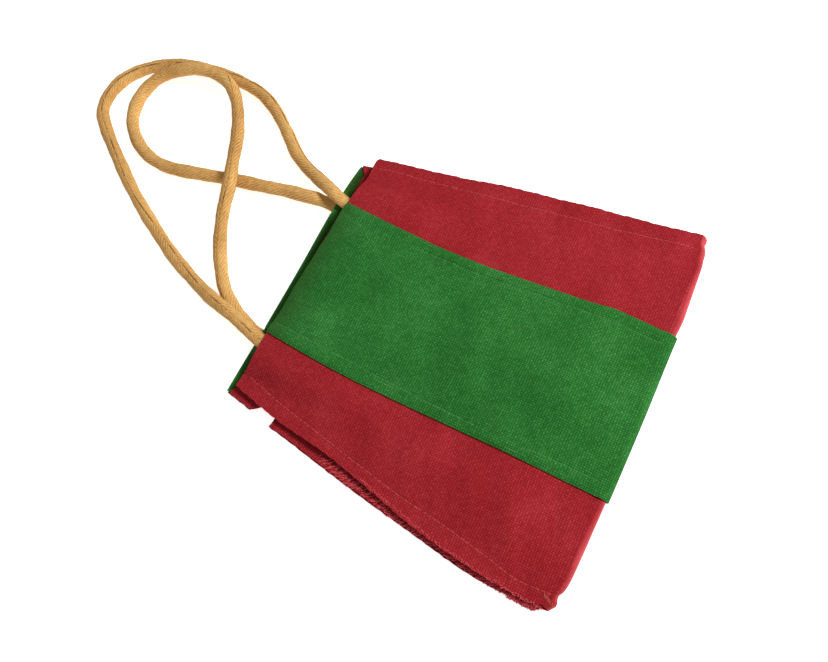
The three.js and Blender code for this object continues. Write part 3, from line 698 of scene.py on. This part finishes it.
# %% Gussets
GUSSET_ROWS = 110
ALLOWANCE_POINTS, LEG_POINTS, CREASE_POINTS, HIDDEN_POINTS = 8, 18, 9, 5
ALLOWANCE = 0.011
GUSSET_SET_BACK = 0.010
ALLOWANCE_SET_BACK = 0.003
ALLOWANCE_LEFT = 0.0004  # width that the notch leaves of it
GUSSET_CREASE = 0.002
GUSSET_FOOT = 0.014
GUSSET_DEPTH_BASE = 0.052
GUSSET_DEPTH_MOUTH = 0.029
EDGE_INSET = 0.0006
HEM_CLEAR = (0.054, 0.072)


def under_hem(mouth, x, y):
    return 1 - soft_step(mouth(x) - y, *HEM_CLEAR)


def on_back(x, y):
    return BACK_FACING_FLAT + under_hem(back_mouth, x, y) * (TRIM_CLOTH + GAP)


def under_front(x, y):
    dip = under_hem(front_mouth, x, y) * (TRIM_CLOTH + GAP)
    return front_top(x, y) - BODY_CLOTH - SEAM_GAP - TRIM_CLOTH / 2 - dip


def gusset_rows(side):
    """Rows along the bag, each once round the folded strip; side is -1 or 1."""
    back, front = (back_left, front_left) if side < 0 else (back_right, front_right)
    share = np.linspace(0, 1, ALLOWANCE_POINTS)[:-1]
    bow = share**3 if side < 0 else share
    leg = np.linspace(0, 1, LEG_POINTS)
    turn = np.pi * np.linspace(0, 1, CREASE_POINTS)[1:-1]
    hidden = np.linspace(0, 1, HIDDEN_POINTS)[1:]
    start, end = BASE + GUSSET_FOOT, BACK_MOUTH - GUSSET_SET_BACK
    for v in rows_between(start, end, GUSSET_ROWS, NOTCH_ROWS):
        edge_back = back(blend_to(start, end, v))
        edge_front = front(blend_to(start, FRONT_MOUTH - GUSSET_SET_BACK, v))
        fold_x = edge_back - side * blend_to(GUSSET_DEPTH_BASE, GUSSET_DEPTH_MOUTH, v)
        foot = base_line(fold_x) + GUSSET_FOOT
        y_start = blend_to(foot, back_mouth(fold_x) - ALLOWANCE_SET_BACK, v)
        late = soft_step(y_start, NOTCH_TO[1], BACK_MOUTH)
        y_back = y_start - (GUSSET_SET_BACK - ALLOWANCE_SET_BACK) * late
        y_front = blend_to(foot, front_mouth(fold_x) - GUSSET_SET_BACK, v)
        seam_back, seam_front = edge_back - side * ALLOWANCE, edge_front - side * ALLOWANCE
        low, high = on_back(seam_back, y_back), under_front(seam_front, y_front)
        middle = (low + high) / 2
        crease = min(GUSSET_CREASE, (high - low) / 2)
        nominal = blend_to(start, BACK_MOUTH - ALLOWANCE_SET_BACK, v)
        inset = min(EDGE_INSET + float(notch_inset(nominal)), ALLOWANCE - ALLOWANCE_LEFT)
        allowance_x = blend_to(back(nominal) - side * inset, seam_back, share)
        allowance_y = blend_to(y_start, y_back, bow) + notch_slant(nominal, 1 - share)
        leg_x = blend_to(seam_back, fold_x, leg)
        leg_z = blend_to(on_back(leg_x, y_back), middle - crease, soft_step(leg, 0, 1))
        crease_x = fold_x - side * crease * np.sin(turn)
        crease_z = middle - crease * np.cos(turn)
        front_x = blend_to(fold_x, seam_front, leg)
        front_z = blend_to(middle + crease, under_front(front_x, y_front), soft_step(leg, 0, 1))
        hidden_x = blend_to(seam_front, edge_front - side * EDGE_INSET, hidden)
        x = np.concatenate([allowance_x, leg_x, crease_x, front_x, hidden_x])
        y = np.concatenate([
            allowance_y, np.full(LEG_POINTS, y_back), blend_to(y_back, y_front, turn / np.pi),
            np.full(LEG_POINTS + len(hidden), y_front)])
        z = np.concatenate([on_back(allowance_x, allowance_y), leg_z, crease_z, front_z,
                            under_front(hidden_x, y_front)])
        across = np.concatenate([[0], np.cumsum(np.hypot(np.diff(x), np.diff(z)))])
        yield x, y, z, across, y


gussets = [
    cloth(f"{node}_jute", gusset_rows(side), TRIM_CLOTH, node,
          area=area)
    for node, side, area in (("gusset_lower", -1, 0.0235), ("gusset_upper", 1, 0.0265))
]

# %% [markdown]
# ## Materials
# Plain weave is a chequerboard of short threads: on one square the thread along the bag lies on
# top, on the next the thread across it. A node group works this out from the flat cloth's own
# coordinates, so that the weave runs round the folds with the cloth.

# %% Node helpers
def maths(tree, operation, *values, kind="ShaderNodeMath"):
    """A Math node on sockets or numbers; its result."""
    node = tree.nodes.new(kind)
    node.operation = operation
    for socket, value in zip(node.inputs, values):
        if isinstance(value, bpy.types.NodeSocket):
            tree.links.new(value, socket)
        else:
            socket.default_value = value
    return node.outputs[0]


def vector_maths(tree, operation, *values):
    return maths(tree, operation, *values, kind="ShaderNodeVectorMath")


def weighted(tree, *terms):
    """The sum of sockets, each times its weight."""
    total = 0.0
    for socket, weight in terms:
        total = maths(tree, "MULTIPLY_ADD", socket, weight, total)
    return total


def split_up(tree, vector):
    """A vector's numbers along x, y and z."""
    node = tree.nodes.new("ShaderNodeSeparateXYZ")
    tree.links.new(vector, node.inputs[0])
    return node.outputs


def noise(tree, vector, scale, detail=2.0, output="Fac"):
    node = tree.nodes.new("ShaderNodeTexNoise")
    node.inputs["Scale"].default_value = scale
    node.inputs["Detail"].default_value = detail
    tree.links.new(vector, node.inputs["Vector"])
    return node.outputs[output]


def colour_ramp(tree, factor, stops):
    """A stop is its place and a colour, or one level for a grey."""
    node = tree.nodes.new("ShaderNodeValToRGB")
    while len(node.color_ramp.elements) < len(stops):
        node.color_ramp.elements.new(0.5)
    for element, (place, colour) in zip(node.color_ramp.elements, stops):
        element.position = place
        element.color = (*np.broadcast_to(colour, 3), 1)
    tree.links.new(factor, node.inputs["Fac"])
    return node.outputs["Color"]


def mixed(tree, share, colour, other, blend="MIX"):
    """Blends another colour, fixed or from a socket, into a colour."""
    node = tree.nodes.new("ShaderNodeMix")
    node.data_type, node.blend_type = "RGBA", blend
    tree.links.new(share, node.inputs["Factor"])
    tree.links.new(colour, node.inputs["A"])
    if isinstance(other, bpy.types.NodeSocket):
        tree.links.new(other, node.inputs["B"])
    else:
        node.inputs["B"].default_value = (*other, 1)
    return node.outputs["Result"]


def new_material(name, roughness, specular=0.5):
    """A material, its node tree and its shader."""
    material = bpy.data.materials.new(name)
    material.use_nodes = True
    shader = material.node_tree.nodes["Principled BSDF"]
    shader.inputs["Roughness"].default_value = roughness
    shader.inputs["Specular IOR Level"].default_value = specular
    return material, material.node_tree, shader


def flat_place(tree):
    """The place on the uncut cloth or tape, from the UV map."""
    node = tree.nodes.new("ShaderNodeUVMap")
    node.uv_map = "flat"
    return node.outputs["UV"]


def object_place(tree):
    return tree.nodes.new("ShaderNodeTexCoord").outputs["Object"]


def add_bump(tree, shader, height, strength, distance):
    node = tree.nodes.new("ShaderNodeBump")
    node.inputs["Strength"].default_value = strength
    node.inputs["Distance"].default_value = distance
    tree.links.new(height, node.inputs["Height"])
    tree.links.new(node.outputs["Normal"], shader.inputs["Normal"])


def from_srgb(*levels):
    """Linear colour from 0 to 255 display levels."""
    shares = [level / 255 for level in levels]
    return tuple(c / 12.92 if c <= 0.04045 else ((c + 0.055) / 1.055) ** 2.4 for c in shares)


# %% Plain weave
THREAD_COUNTS = (1 / 0.00183, 1 / 0.00210, 0.0)  # for each metre across and along
UNEVEN = [(28, 0.004), (360, 0.0013)]  # scale of a noise, and metres by which it moves threads
THREAD_DIP = 0.42  # a thread's fall towards the ends of its square
# painted shade: the threads along the bag are coloured darker than those across, as under side
# light
PAINTED_SIDE_SHADE_LEVEL = 0.86  # of the threads along the bag, against those across it
THREAD_STREAK = 0.05  # noise along a thread, against across it
THREAD_SHARE, CELL_SHARE = 0.45, 0.55  # of a thread's own shade and of each square's

weave = bpy.data.node_groups.new("plain_weave", "ShaderNodeTree")
weave.interface.new_socket("Flat cloth", in_out="INPUT", socket_type="NodeSocketVector")
for output in ("Height", "Thread", "Painted relief light", "Chance"):
    weave.interface.new_socket(output, in_out="OUTPUT", socket_type="NodeSocketFloat")
weave_in = weave.nodes.new("NodeGroupInput").outputs[0]
drawn = weave_in
for scale, reach in UNEVEN:
    wander = noise(weave, weave_in, scale, output="Color")
    wander = vector_maths(weave, "SUBTRACT", wander, (0.5, 0.5, 0.5))
    wander = vector_maths(weave, "MULTIPLY", wander, (reach, reach, 0.0))
    drawn = vector_maths(weave, "ADD", drawn, wander)
counted = vector_maths(weave, "MULTIPLY", drawn, THREAD_COUNTS)
squares = vector_maths(weave, "FLOOR", counted)
column, row = split_up(weave, squares)[:2]
square = maths(weave, "ABSOLUTE", maths(weave, "ADD", column, row))
across_on_top = maths(weave, "MODULO", square, 2.0)


def off_middle(place):
    """0 in the middle of a square, and 1 at its sides."""
    off = maths(weave, "MULTIPLY_ADD", maths(weave, "FRACT", place), 2.0, -1.0)
    return maths(weave, "MULTIPLY", off, off)


def thread_height(across_thread, along_thread):
    narrow = maths(weave, "SUBTRACT", 1.0, across_thread)
    long = maths(weave, "MULTIPLY_ADD", along_thread, -THREAD_DIP, 1.0)
    return maths(weave, "MULTIPLY", narrow, long)


def either(first, second):
    """first where the thread along the bag lies on top, else second."""
    difference = maths(weave, "SUBTRACT", second, first)
    return maths(weave, "MULTIPLY_ADD", across_on_top, difference, first)


off_x, off_y = (off_middle(place) for place in split_up(weave, counted)[:2])
height = either(thread_height(off_x, off_y), thread_height(off_y, off_x))
# Painted light: this colour output is lighter on the thread crowns and darker in the hollows
level = maths(weave, "MULTIPLY_ADD", across_on_top, 1 - PAINTED_SIDE_SHADE_LEVEL, PAINTED_SIDE_SHADE_LEVEL)
raised = maths(weave, "MULTIPLY", height, level)
streaks = [noise(weave, vector_maths(weave, "MULTIPLY", counted, stretch), 1.0, detail=1.0)
           for stretch in ((1.0, THREAD_STREAK, 1.0), (THREAD_STREAK, 1.0, 1.0))]
cell = weave.nodes.new("ShaderNodeTexWhiteNoise")
cell.noise_dimensions = "2D"
weave.links.new(squares, cell.inputs["Vector"])
chance = cell.outputs["Value"]
thread = weighted(weave, (either(*streaks), THREAD_SHARE), (chance, CELL_SHARE))
weave_out = weave.nodes.new("NodeGroupOutput")
for socket, result in zip(weave_out.inputs, (height, thread, raised, chance)):
    weave.links.new(result, socket)
print("plain weave uses", len(weave.nodes), "nodes")


# %% Jute
THREAD_WEIGHT, BLOTCH_WEIGHT, PAINTED_RELIEF_WEIGHT = 0.24, 0.32, 0.44
BLOTCH_SCALE = 24
# painted shade at the hollow stop, a painted highlight near the light stop, thread tones between
SHADE_STOPS = (0.22, 0.40, 0.62, 0.88)  # of the hollow, dark, middle and light shades
FLECK_CROWN = 0.60
FLECK_SHARE = 0.60
PAINTED_LIGHT_WANDER = 0.012


def jute(name, shades, fleck, painted_light=None):
    """Dyed jute cloth: a painted highlight on every crossing and painted shade in the hollows,
    thread by thread shades and faint blotches.

    A painted light is a colour, a sign and the strengths at places along the flat cloth, times
    that sign: painted shade or a painted highlight over part of the cloth."""
    material, tree, shader = new_material(name, roughness=0.92, specular=0.12)
    place = flat_place(tree)
    group = tree.nodes.new("ShaderNodeGroup")
    group.node_tree = weave
    tree.links.new(place, group.inputs[0])
    height, thread, raised, chance = group.outputs
    blotches = noise(tree, object_place(tree), BLOTCH_SCALE, detail=3)
    # the weave's painted relief light is mixed here with the threads' own tones and the blotches
    shade = weighted(
        tree, (thread, THREAD_WEIGHT), (blotches, BLOTCH_WEIGHT), (raised, PAINTED_RELIEF_WEIGHT))
    colour = colour_ramp(tree, shade, list(zip(SHADE_STOPS, shades)))
    fleck_colour, rarity = fleck
    chosen = maths(tree, "GREATER_THAN", chance, rarity)
    on_crown = maths(tree, "GREATER_THAN", height, FLECK_CROWN)
    flecks = maths(tree, "MULTIPLY", maths(tree, "MULTIPLY", chosen, on_crown), FLECK_SHARE)
    colour = mixed(tree, flecks, colour, fleck_colour)
    if painted_light:
        painted_light_colour, sign, strengths = painted_light
        wander = maths(tree, "SUBTRACT", blotches, 0.5)
        along = weighted(tree, (split_up(tree, place)[1], sign), (wander, PAINTED_LIGHT_WANDER))
        colour = mixed(tree, colour_ramp(tree, along, strengths), colour, painted_light_colour)
    tree.links.new(colour, shader.inputs["Base Color"])
    add_bump(tree, shader, height, strength=0.30, distance=0.0004)
    return material


def plain_thread(name, colour):
    """Sewing thread: one colour with a little unevenness."""
    material, tree, shader = new_material(name, roughness=0.9, specular=0.1)
    uneven = noise(tree, object_place(tree), 700, detail=1)
    darker = tuple(0.72 * level for level in colour)
    shaded = colour_ramp(tree, uneven, [(0.3, darker), (0.65, colour)])
    tree.links.new(shaded, shader.inputs["Base Color"])
    return material


# the facings' greens are painted shade: darker and browner than the band, for the shadow under the
# front
REDS, GREENS, PAINTED_SHADE_GREENS = (
    [from_srgb(*shade) for shade in shades] for shades in (
        [(108, 8, 15), (135, 22, 29), (153, 36, 43), (177, 63, 69)],
        [(8, 60, 14), (27, 89, 29), (43, 111, 45), (80, 143, 80)],
        [(22, 40, 10), (34, 56, 16), (42, 70, 20), (54, 88, 28)],
    ))
DARK_FLECK = (from_srgb(74, 26, 22), 0.9965)
BROWN_FLECK = (from_srgb(56, 46, 20), 0.991)
# painted highlight: the body is coloured paler along the base fold, where it turns to the light
PAINTED_HIGHLIGHT_FOLD = (from_srgb(232, 104, 108), -1,
             [(0.1592, 0.0), (0.1612, 0.50), (0.1660, 0.50), (0.1700, 0.0)])
# painted shade: the band is coloured darker and browner towards the mouth, sloping from the light
PAINTED_SHADE_MOUTH = (from_srgb(44, 66, 24), 1, [(0.128, 0.0), (0.149, 0.55)])
# painted highlight: the back facing is lifted to a lit green on its roll over the mouth edge
PAINTED_LIT_ROLL = (from_srgb(44, 120, 46), 1, [(0.1590, 0.0), (0.1612, 0.75), (0.1622, 1.0)])
red_jute = jute("red_jute", REDS, DARK_FLECK)
body_jute_painted_highlight = jute("body_jute_painted_highlight", REDS, DARK_FLECK, painted_light=PAINTED_HIGHLIGHT_FOLD)
band_jute_painted_shade = jute("band_jute_painted_shade", GREENS, BROWN_FLECK, painted_light=PAINTED_SHADE_MOUTH)
facing_jute_painted_shade = jute("facing_jute_painted_shade", PAINTED_SHADE_GREENS, BROWN_FLECK, painted_light=PAINTED_LIT_ROLL)
red_thread = plain_thread("red_thread", from_srgb(188, 86, 80))
green_thread = plain_thread("green_thread", from_srgb(68, 130, 68))
# paler than the cloth: frayed fibres are paler, and the colour is also lifted as painted light for
# the shadowed strip
pale_fray_and_painted_light = plain_thread("pale_fray_and_painted_light", from_srgb(212, 78, 86))

# %% Twill tape
TAPE_THREADS = (14.0, 850.0, 0.0)  # lengths round the rope, and threads for each metre
TAPE_SHADES = [(0.30, from_srgb(138, 96, 46)), (0.50, from_srgb(198, 150, 85)),
               (0.70, from_srgb(228, 184, 116))]
LAP_SHADOW = [(0.955, 1), (0.985, (0.30, 0.22, 0.14))]  # round the rope
LAP_OPEN = [(0.46, 0.15), (0.60, 0.95)]  # where the shadow shows along the lap

tape, tree, shader = new_material("twill_tape", roughness=0.85, specular=0.2)
place = flat_place(tree)
round_rope, climb = split_up(tree, place)[:2]
# painted shade: the grooves between the ribs are coloured a little darker, the ridges lighter
painted_rib_shading = maths(tree, "COSINE", maths(tree, "MULTIPLY", climb, 2 * math.pi / RIB_PITCH))
rope_place = object_place(tree)
fibre = noise(tree, rope_place, 900, detail=3)
patch = noise(tree, rope_place, 30)
threads = noise(tree, vector_maths(tree, "MULTIPLY", place, TAPE_THREADS), 1.0)
shade = weighted(tree, (patch, 0.25), (fibre, 0.15), (threads, 0.60), (painted_rib_shading, 0.06))
colour = colour_ramp(tree, shade, TAPE_SHADES)
shadow = colour_ramp(tree, round_rope, LAP_SHADOW)
opened = colour_ramp(tree, noise(tree, rope_place, 60, detail=1), LAP_OPEN)
tree.links.new(mixed(tree, opened, colour, shadow, blend="MULTIPLY"), shader.inputs["Base Color"])
add_bump(tree, shader, threads, strength=0.25, distance=0.0003)

# %% Materials on the pieces
for piece, material in [(body, body_jute_painted_highlight), (band, band_jute_painted_shade), (back_facing, facing_jute_painted_shade),
                        (front_facing, facing_jute_painted_shade), (gussets[0], red_jute),
                        (gussets[1], red_jute), (front_rope, tape), (back_rope, tape)]:
    piece.data.materials.clear()
    piece.data.materials.append(material)
    print(piece.name, "is", material.name)

# %% [markdown]
# ## Stitches and frayed threads
# A stitch is one short capsule, modelled once. Every row of stitches is one mesh of copies of it,
# each laid on the cloth and half sunk in its groove. The raw lower edges are overcast and fray: one
# bent thread, a beveled curve, is copied the same way with its own turn, length and lean.

# %% Copies
THREAD_WIDTH = 0.12  # of the template, set back to 1 afterwards


def template_shape(piece):
    """The points and faces of a primitive, which is then removed."""
    points = np.array([vertex.co for vertex in piece.data.vertices])
    faces = [tuple(face.vertices) for face in piece.data.polygons]
    bpy.data.objects.remove(piece, do_unlink=True)
    return points, faces


bpy.ops.mesh.primitive_uv_sphere_add(
    segments=8, ring_count=6, radius=0.5, rotation=(0, math.pi / 2, 0))
bpy.ops.object.transform_apply(location=False, rotation=True, scale=False)
stitch_shape = template_shape(bpy.context.active_object)
bpy.ops.curve.primitive_bezier_curve_add(radius=0.5)
curve = bpy.context.active_object
curve.data.bevel_depth, curve.data.bevel_resolution, curve.data.resolution_u = 0.5, 0, 5
curve.data.use_fill_caps = True
for point in curve.data.splines[0].bezier_points:
    point.radius = THREAD_WIDTH
bpy.ops.object.convert(target="MESH")
thread_shape = template_shape(bpy.context.active_object)
thread_shape[0][:, 1:] /= THREAD_WIDTH
print("one stitch has", len(stitch_shape[1]), "faces, one thread", len(thread_shape[1]))


def copies(name, shape, places, material):
    """One mesh of copies; a place is its middle, its direction, its up and its three sizes."""
    shape_points, shape_faces = shape
    points, faces = [], []
    for middle, ahead, up, size in places:
        ahead = np.array(ahead) / np.linalg.norm(ahead)
        side = np.cross(up, ahead)
        side /= np.linalg.norm(side)
        turned = np.column_stack([ahead, side, np.cross(ahead, side)])
        offset = len(points) * len(shape_points)
        points.append((shape_points * size) @ turned.T + middle)
        faces.extend(tuple(corner + offset for corner in face) for face in shape_faces)
    points = np.vstack(points)
    points[:, 2] = np.maximum(points[:, 2], 0.0)
    piece = new_mesh_piece(name, points, faces, points[:, :2])
    piece.data.materials.append(material)
    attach(piece, "root")
    print(name, "has", len(places), "copies")
    return piece


# %% Rows of stitches
STITCH_PITCH = 0.0044
STITCH_SHIFT = 0.0004  # along the row, and a lean across it
STITCH_LEAN = 0.00012
STITCH_SIZES = (0.80, 1.10)
STITCH_SINK = 0.00006
LOOK_AHEAD = 0.001
RED_STITCH = (0.0045, 0.00072, 0.00050)
GREEN_STITCH = (0.0047, 0.00110, 0.00070)
STITCH_ROWS = [  # seam, then the ends of the row along the bag
    ("red_upper", -0.148, 0.143), ("red_lower", -0.148, 0.150),
    ("green_upper", -0.153, 0.141), ("green_lower", -0.153, 0.147),
]
CORNER_STITCH = (0.0042, 0.0007, 0.0006)
CORNER_FROM = (-0.1612, -0.1528)
CORNER_STEP = (0.0006, 0.0013)
CORNER_LIFT = 0.0001
stitch_random = random.Random(5)


def red_height(x, y):
    return front_top(x, y) + sewn_down(x, y, "red")


def green_height(x, y):
    return front_top(x, y) + BAND_LIFT + TRIM_CLOTH / 2 + sewn_down(x, y, "green")


def stitch_places(line, start, end, height, stitch):
    places = []
    for y in np.arange(start, end, STITCH_PITCH):
        y = y + stitch_random.uniform(-STITCH_SHIFT, STITCH_SHIFT)
        next_y = y + LOOK_AHEAD
        x, next_x = float(line(y)), float(line(next_y))
        z = float(height(x, y))
        ahead = (next_x - x + stitch_random.uniform(-STITCH_LEAN, STITCH_LEAN), LOOK_AHEAD,
                 float(height(next_x, next_y)) - z)
        size = [length * stitch_random.uniform(*STITCH_SIZES) for length in stitch]
        places.append(((x, y, z - STITCH_SINK), ahead, (0, 0, 1), size))
    return places


SEWING = {"red": (red_height, RED_STITCH, red_thread),
          "green": (green_height, GREEN_STITCH, green_thread)}
for seam, start, end in STITCH_ROWS:
    colour = seam.split("_")[0]
    surface, stitch, thread = SEWING[colour]
    places = stitch_places(seam_lines[seam], start, end, surface, stitch)
    copies(f"stitches_{seam}", stitch_shape, places, thread)
corner_places = []
for number in range(7):
    x, y = (first + step * number for first, step in zip(CORNER_FROM, CORNER_STEP))
    middle = (x, y, float(red_height(x, y)) + CORNER_LIFT)
    corner_places.append((middle, (1, 0.35, 0), (0, 0, 1), CORNER_STITCH))
copies("stitches_corner", stitch_shape, corner_places, red_thread)

# %% Overcast and frayed lower edge
fray_random = random.Random(23)
vary = fray_random.uniform
STRIP_TOP = BACK_FACING_FLAT + TRIM_CLOTH / 2
STRIP_SPAN = (0.060, -0.146)  # along the bag
FRONT_SPAN = (0.020, -0.148)
CORNER_SPAN = (-0.121, -0.143)


def fray(name, count, place_of, leans, length, thickness):
    """Copies of the bent thread; leans are the ranges of its direction, 0 where there is none."""
    places = []
    for number in range(count):
        middle = place_of(number / count)
        reach = vary(*length)
        ahead = (*[vary(*span) for span in leans], 0.0)[:3]
        up = (vary(-1, 1), vary(-1, 1), 0.6)
        places.append((middle, ahead, up, (reach, thickness, thickness)))
    copies(name, thread_shape, places, pale_fray_and_painted_light)


def on_strip(share):
    y = blend_to(*STRIP_SPAN, share) + vary(-0.001, 0.001)
    edge, inner = float(back_left(y)), float(front_left(y))
    x = blend_to(edge + 0.0010, inner, vary(0.0, 0.70))
    return x, y, STRIP_TOP + vary(0.0001, 0.0014)


def on_front_edge(share):
    y = blend_to(*FRONT_SPAN, share) + vary(-0.0008, 0.0008)
    x = float(front_left(y)) + vary(-0.0008, 0.0010)
    return x, y, float(front_top(x, y)) + vary(-0.0006, 0.0002)


def near_corner(share):
    y = blend_to(*CORNER_SPAN, share)
    x = float(back_left(y)) + vary(-0.0006, 0.0032)
    return x, y, vary(0.0016, 0.0060)


fray("overcast_lower", 260, on_strip, leans=[(-1.0, -0.6), (0.3, 1.1)],
     length=(0.0035, 0.0065), thickness=0.0009)
fray("fray_front_edge", 210, on_front_edge, leans=[(-0.5, 0.5), (-1, 1), (-0.2, 0.3)],
     length=(0.0016, 0.0034), thickness=0.0007)
fray("fray_corner", 170, near_corner, leans=[(-1, 0.6), (-1, 1), (-0.3, 0.5)],
     length=(0.0018, 0.0034), thickness=0.0011)

# %% [markdown]
# ## Floor and light
# One soft lamp from beyond the base's upper side, and a dimmer even sky for fill. The floor glows a
# little, so that the shadows on it stay as pale as on a lit table.

# %% Floor and light
FLOOR_SIZE = 6.0
FLOOR_DROP = 0.0004  # below the bag, so that the two faces don't flicker
FLOOR_COLOUR = (0.93, 0.93, 0.93, 1)
FLOOR_GLOW = 0.72
SKY_STRENGTH = 0.39
WHITE = (1, 1, 1, 1)

bpy.ops.mesh.primitive_plane_add(size=FLOOR_SIZE, location=(0, 0, -FLOOR_DROP))
floor = bpy.context.active_object
floor.name = "floor"
floor_paint, _, shader = new_material("floor_paint", roughness=0.9)
shader.inputs["Base Color"].default_value = FLOOR_COLOUR
shader.inputs["Emission Color"].default_value = WHITE
shader.inputs["Emission Strength"].default_value = FLOOR_GLOW
floor.data.materials.append(floor_paint)

world = bpy.data.worlds.new("studio")
world.use_nodes = True
sky = world.node_tree.nodes["Background"]
sky.inputs["Color"].default_value = WHITE
sky.inputs["Strength"].default_value = SKY_STRENGTH
bpy.context.scene.world = world


def soft_lamp(name, place, aim, size, power):
    data = bpy.data.lights.new(name, "AREA")
    data.shape, data.size, data.energy = "DISK", size, power
    lamp = bpy.data.objects.new(name, data)
    lamp.location = place
    away = np.array(place) - np.array(aim)
    lamp.rotation_euler = (math.acos(away[2] / np.linalg.norm(away)), 0,
                           math.atan2(away[1], away[0]) + math.pi / 2)
    bpy.context.scene.collection.objects.link(lamp)


soft_lamp("key", place=(0.75, -1.20, 1.60), aim=(0, 0.05, 0), size=0.6, power=49)
print("one lamp, and a sky of", SKY_STRENGTH)
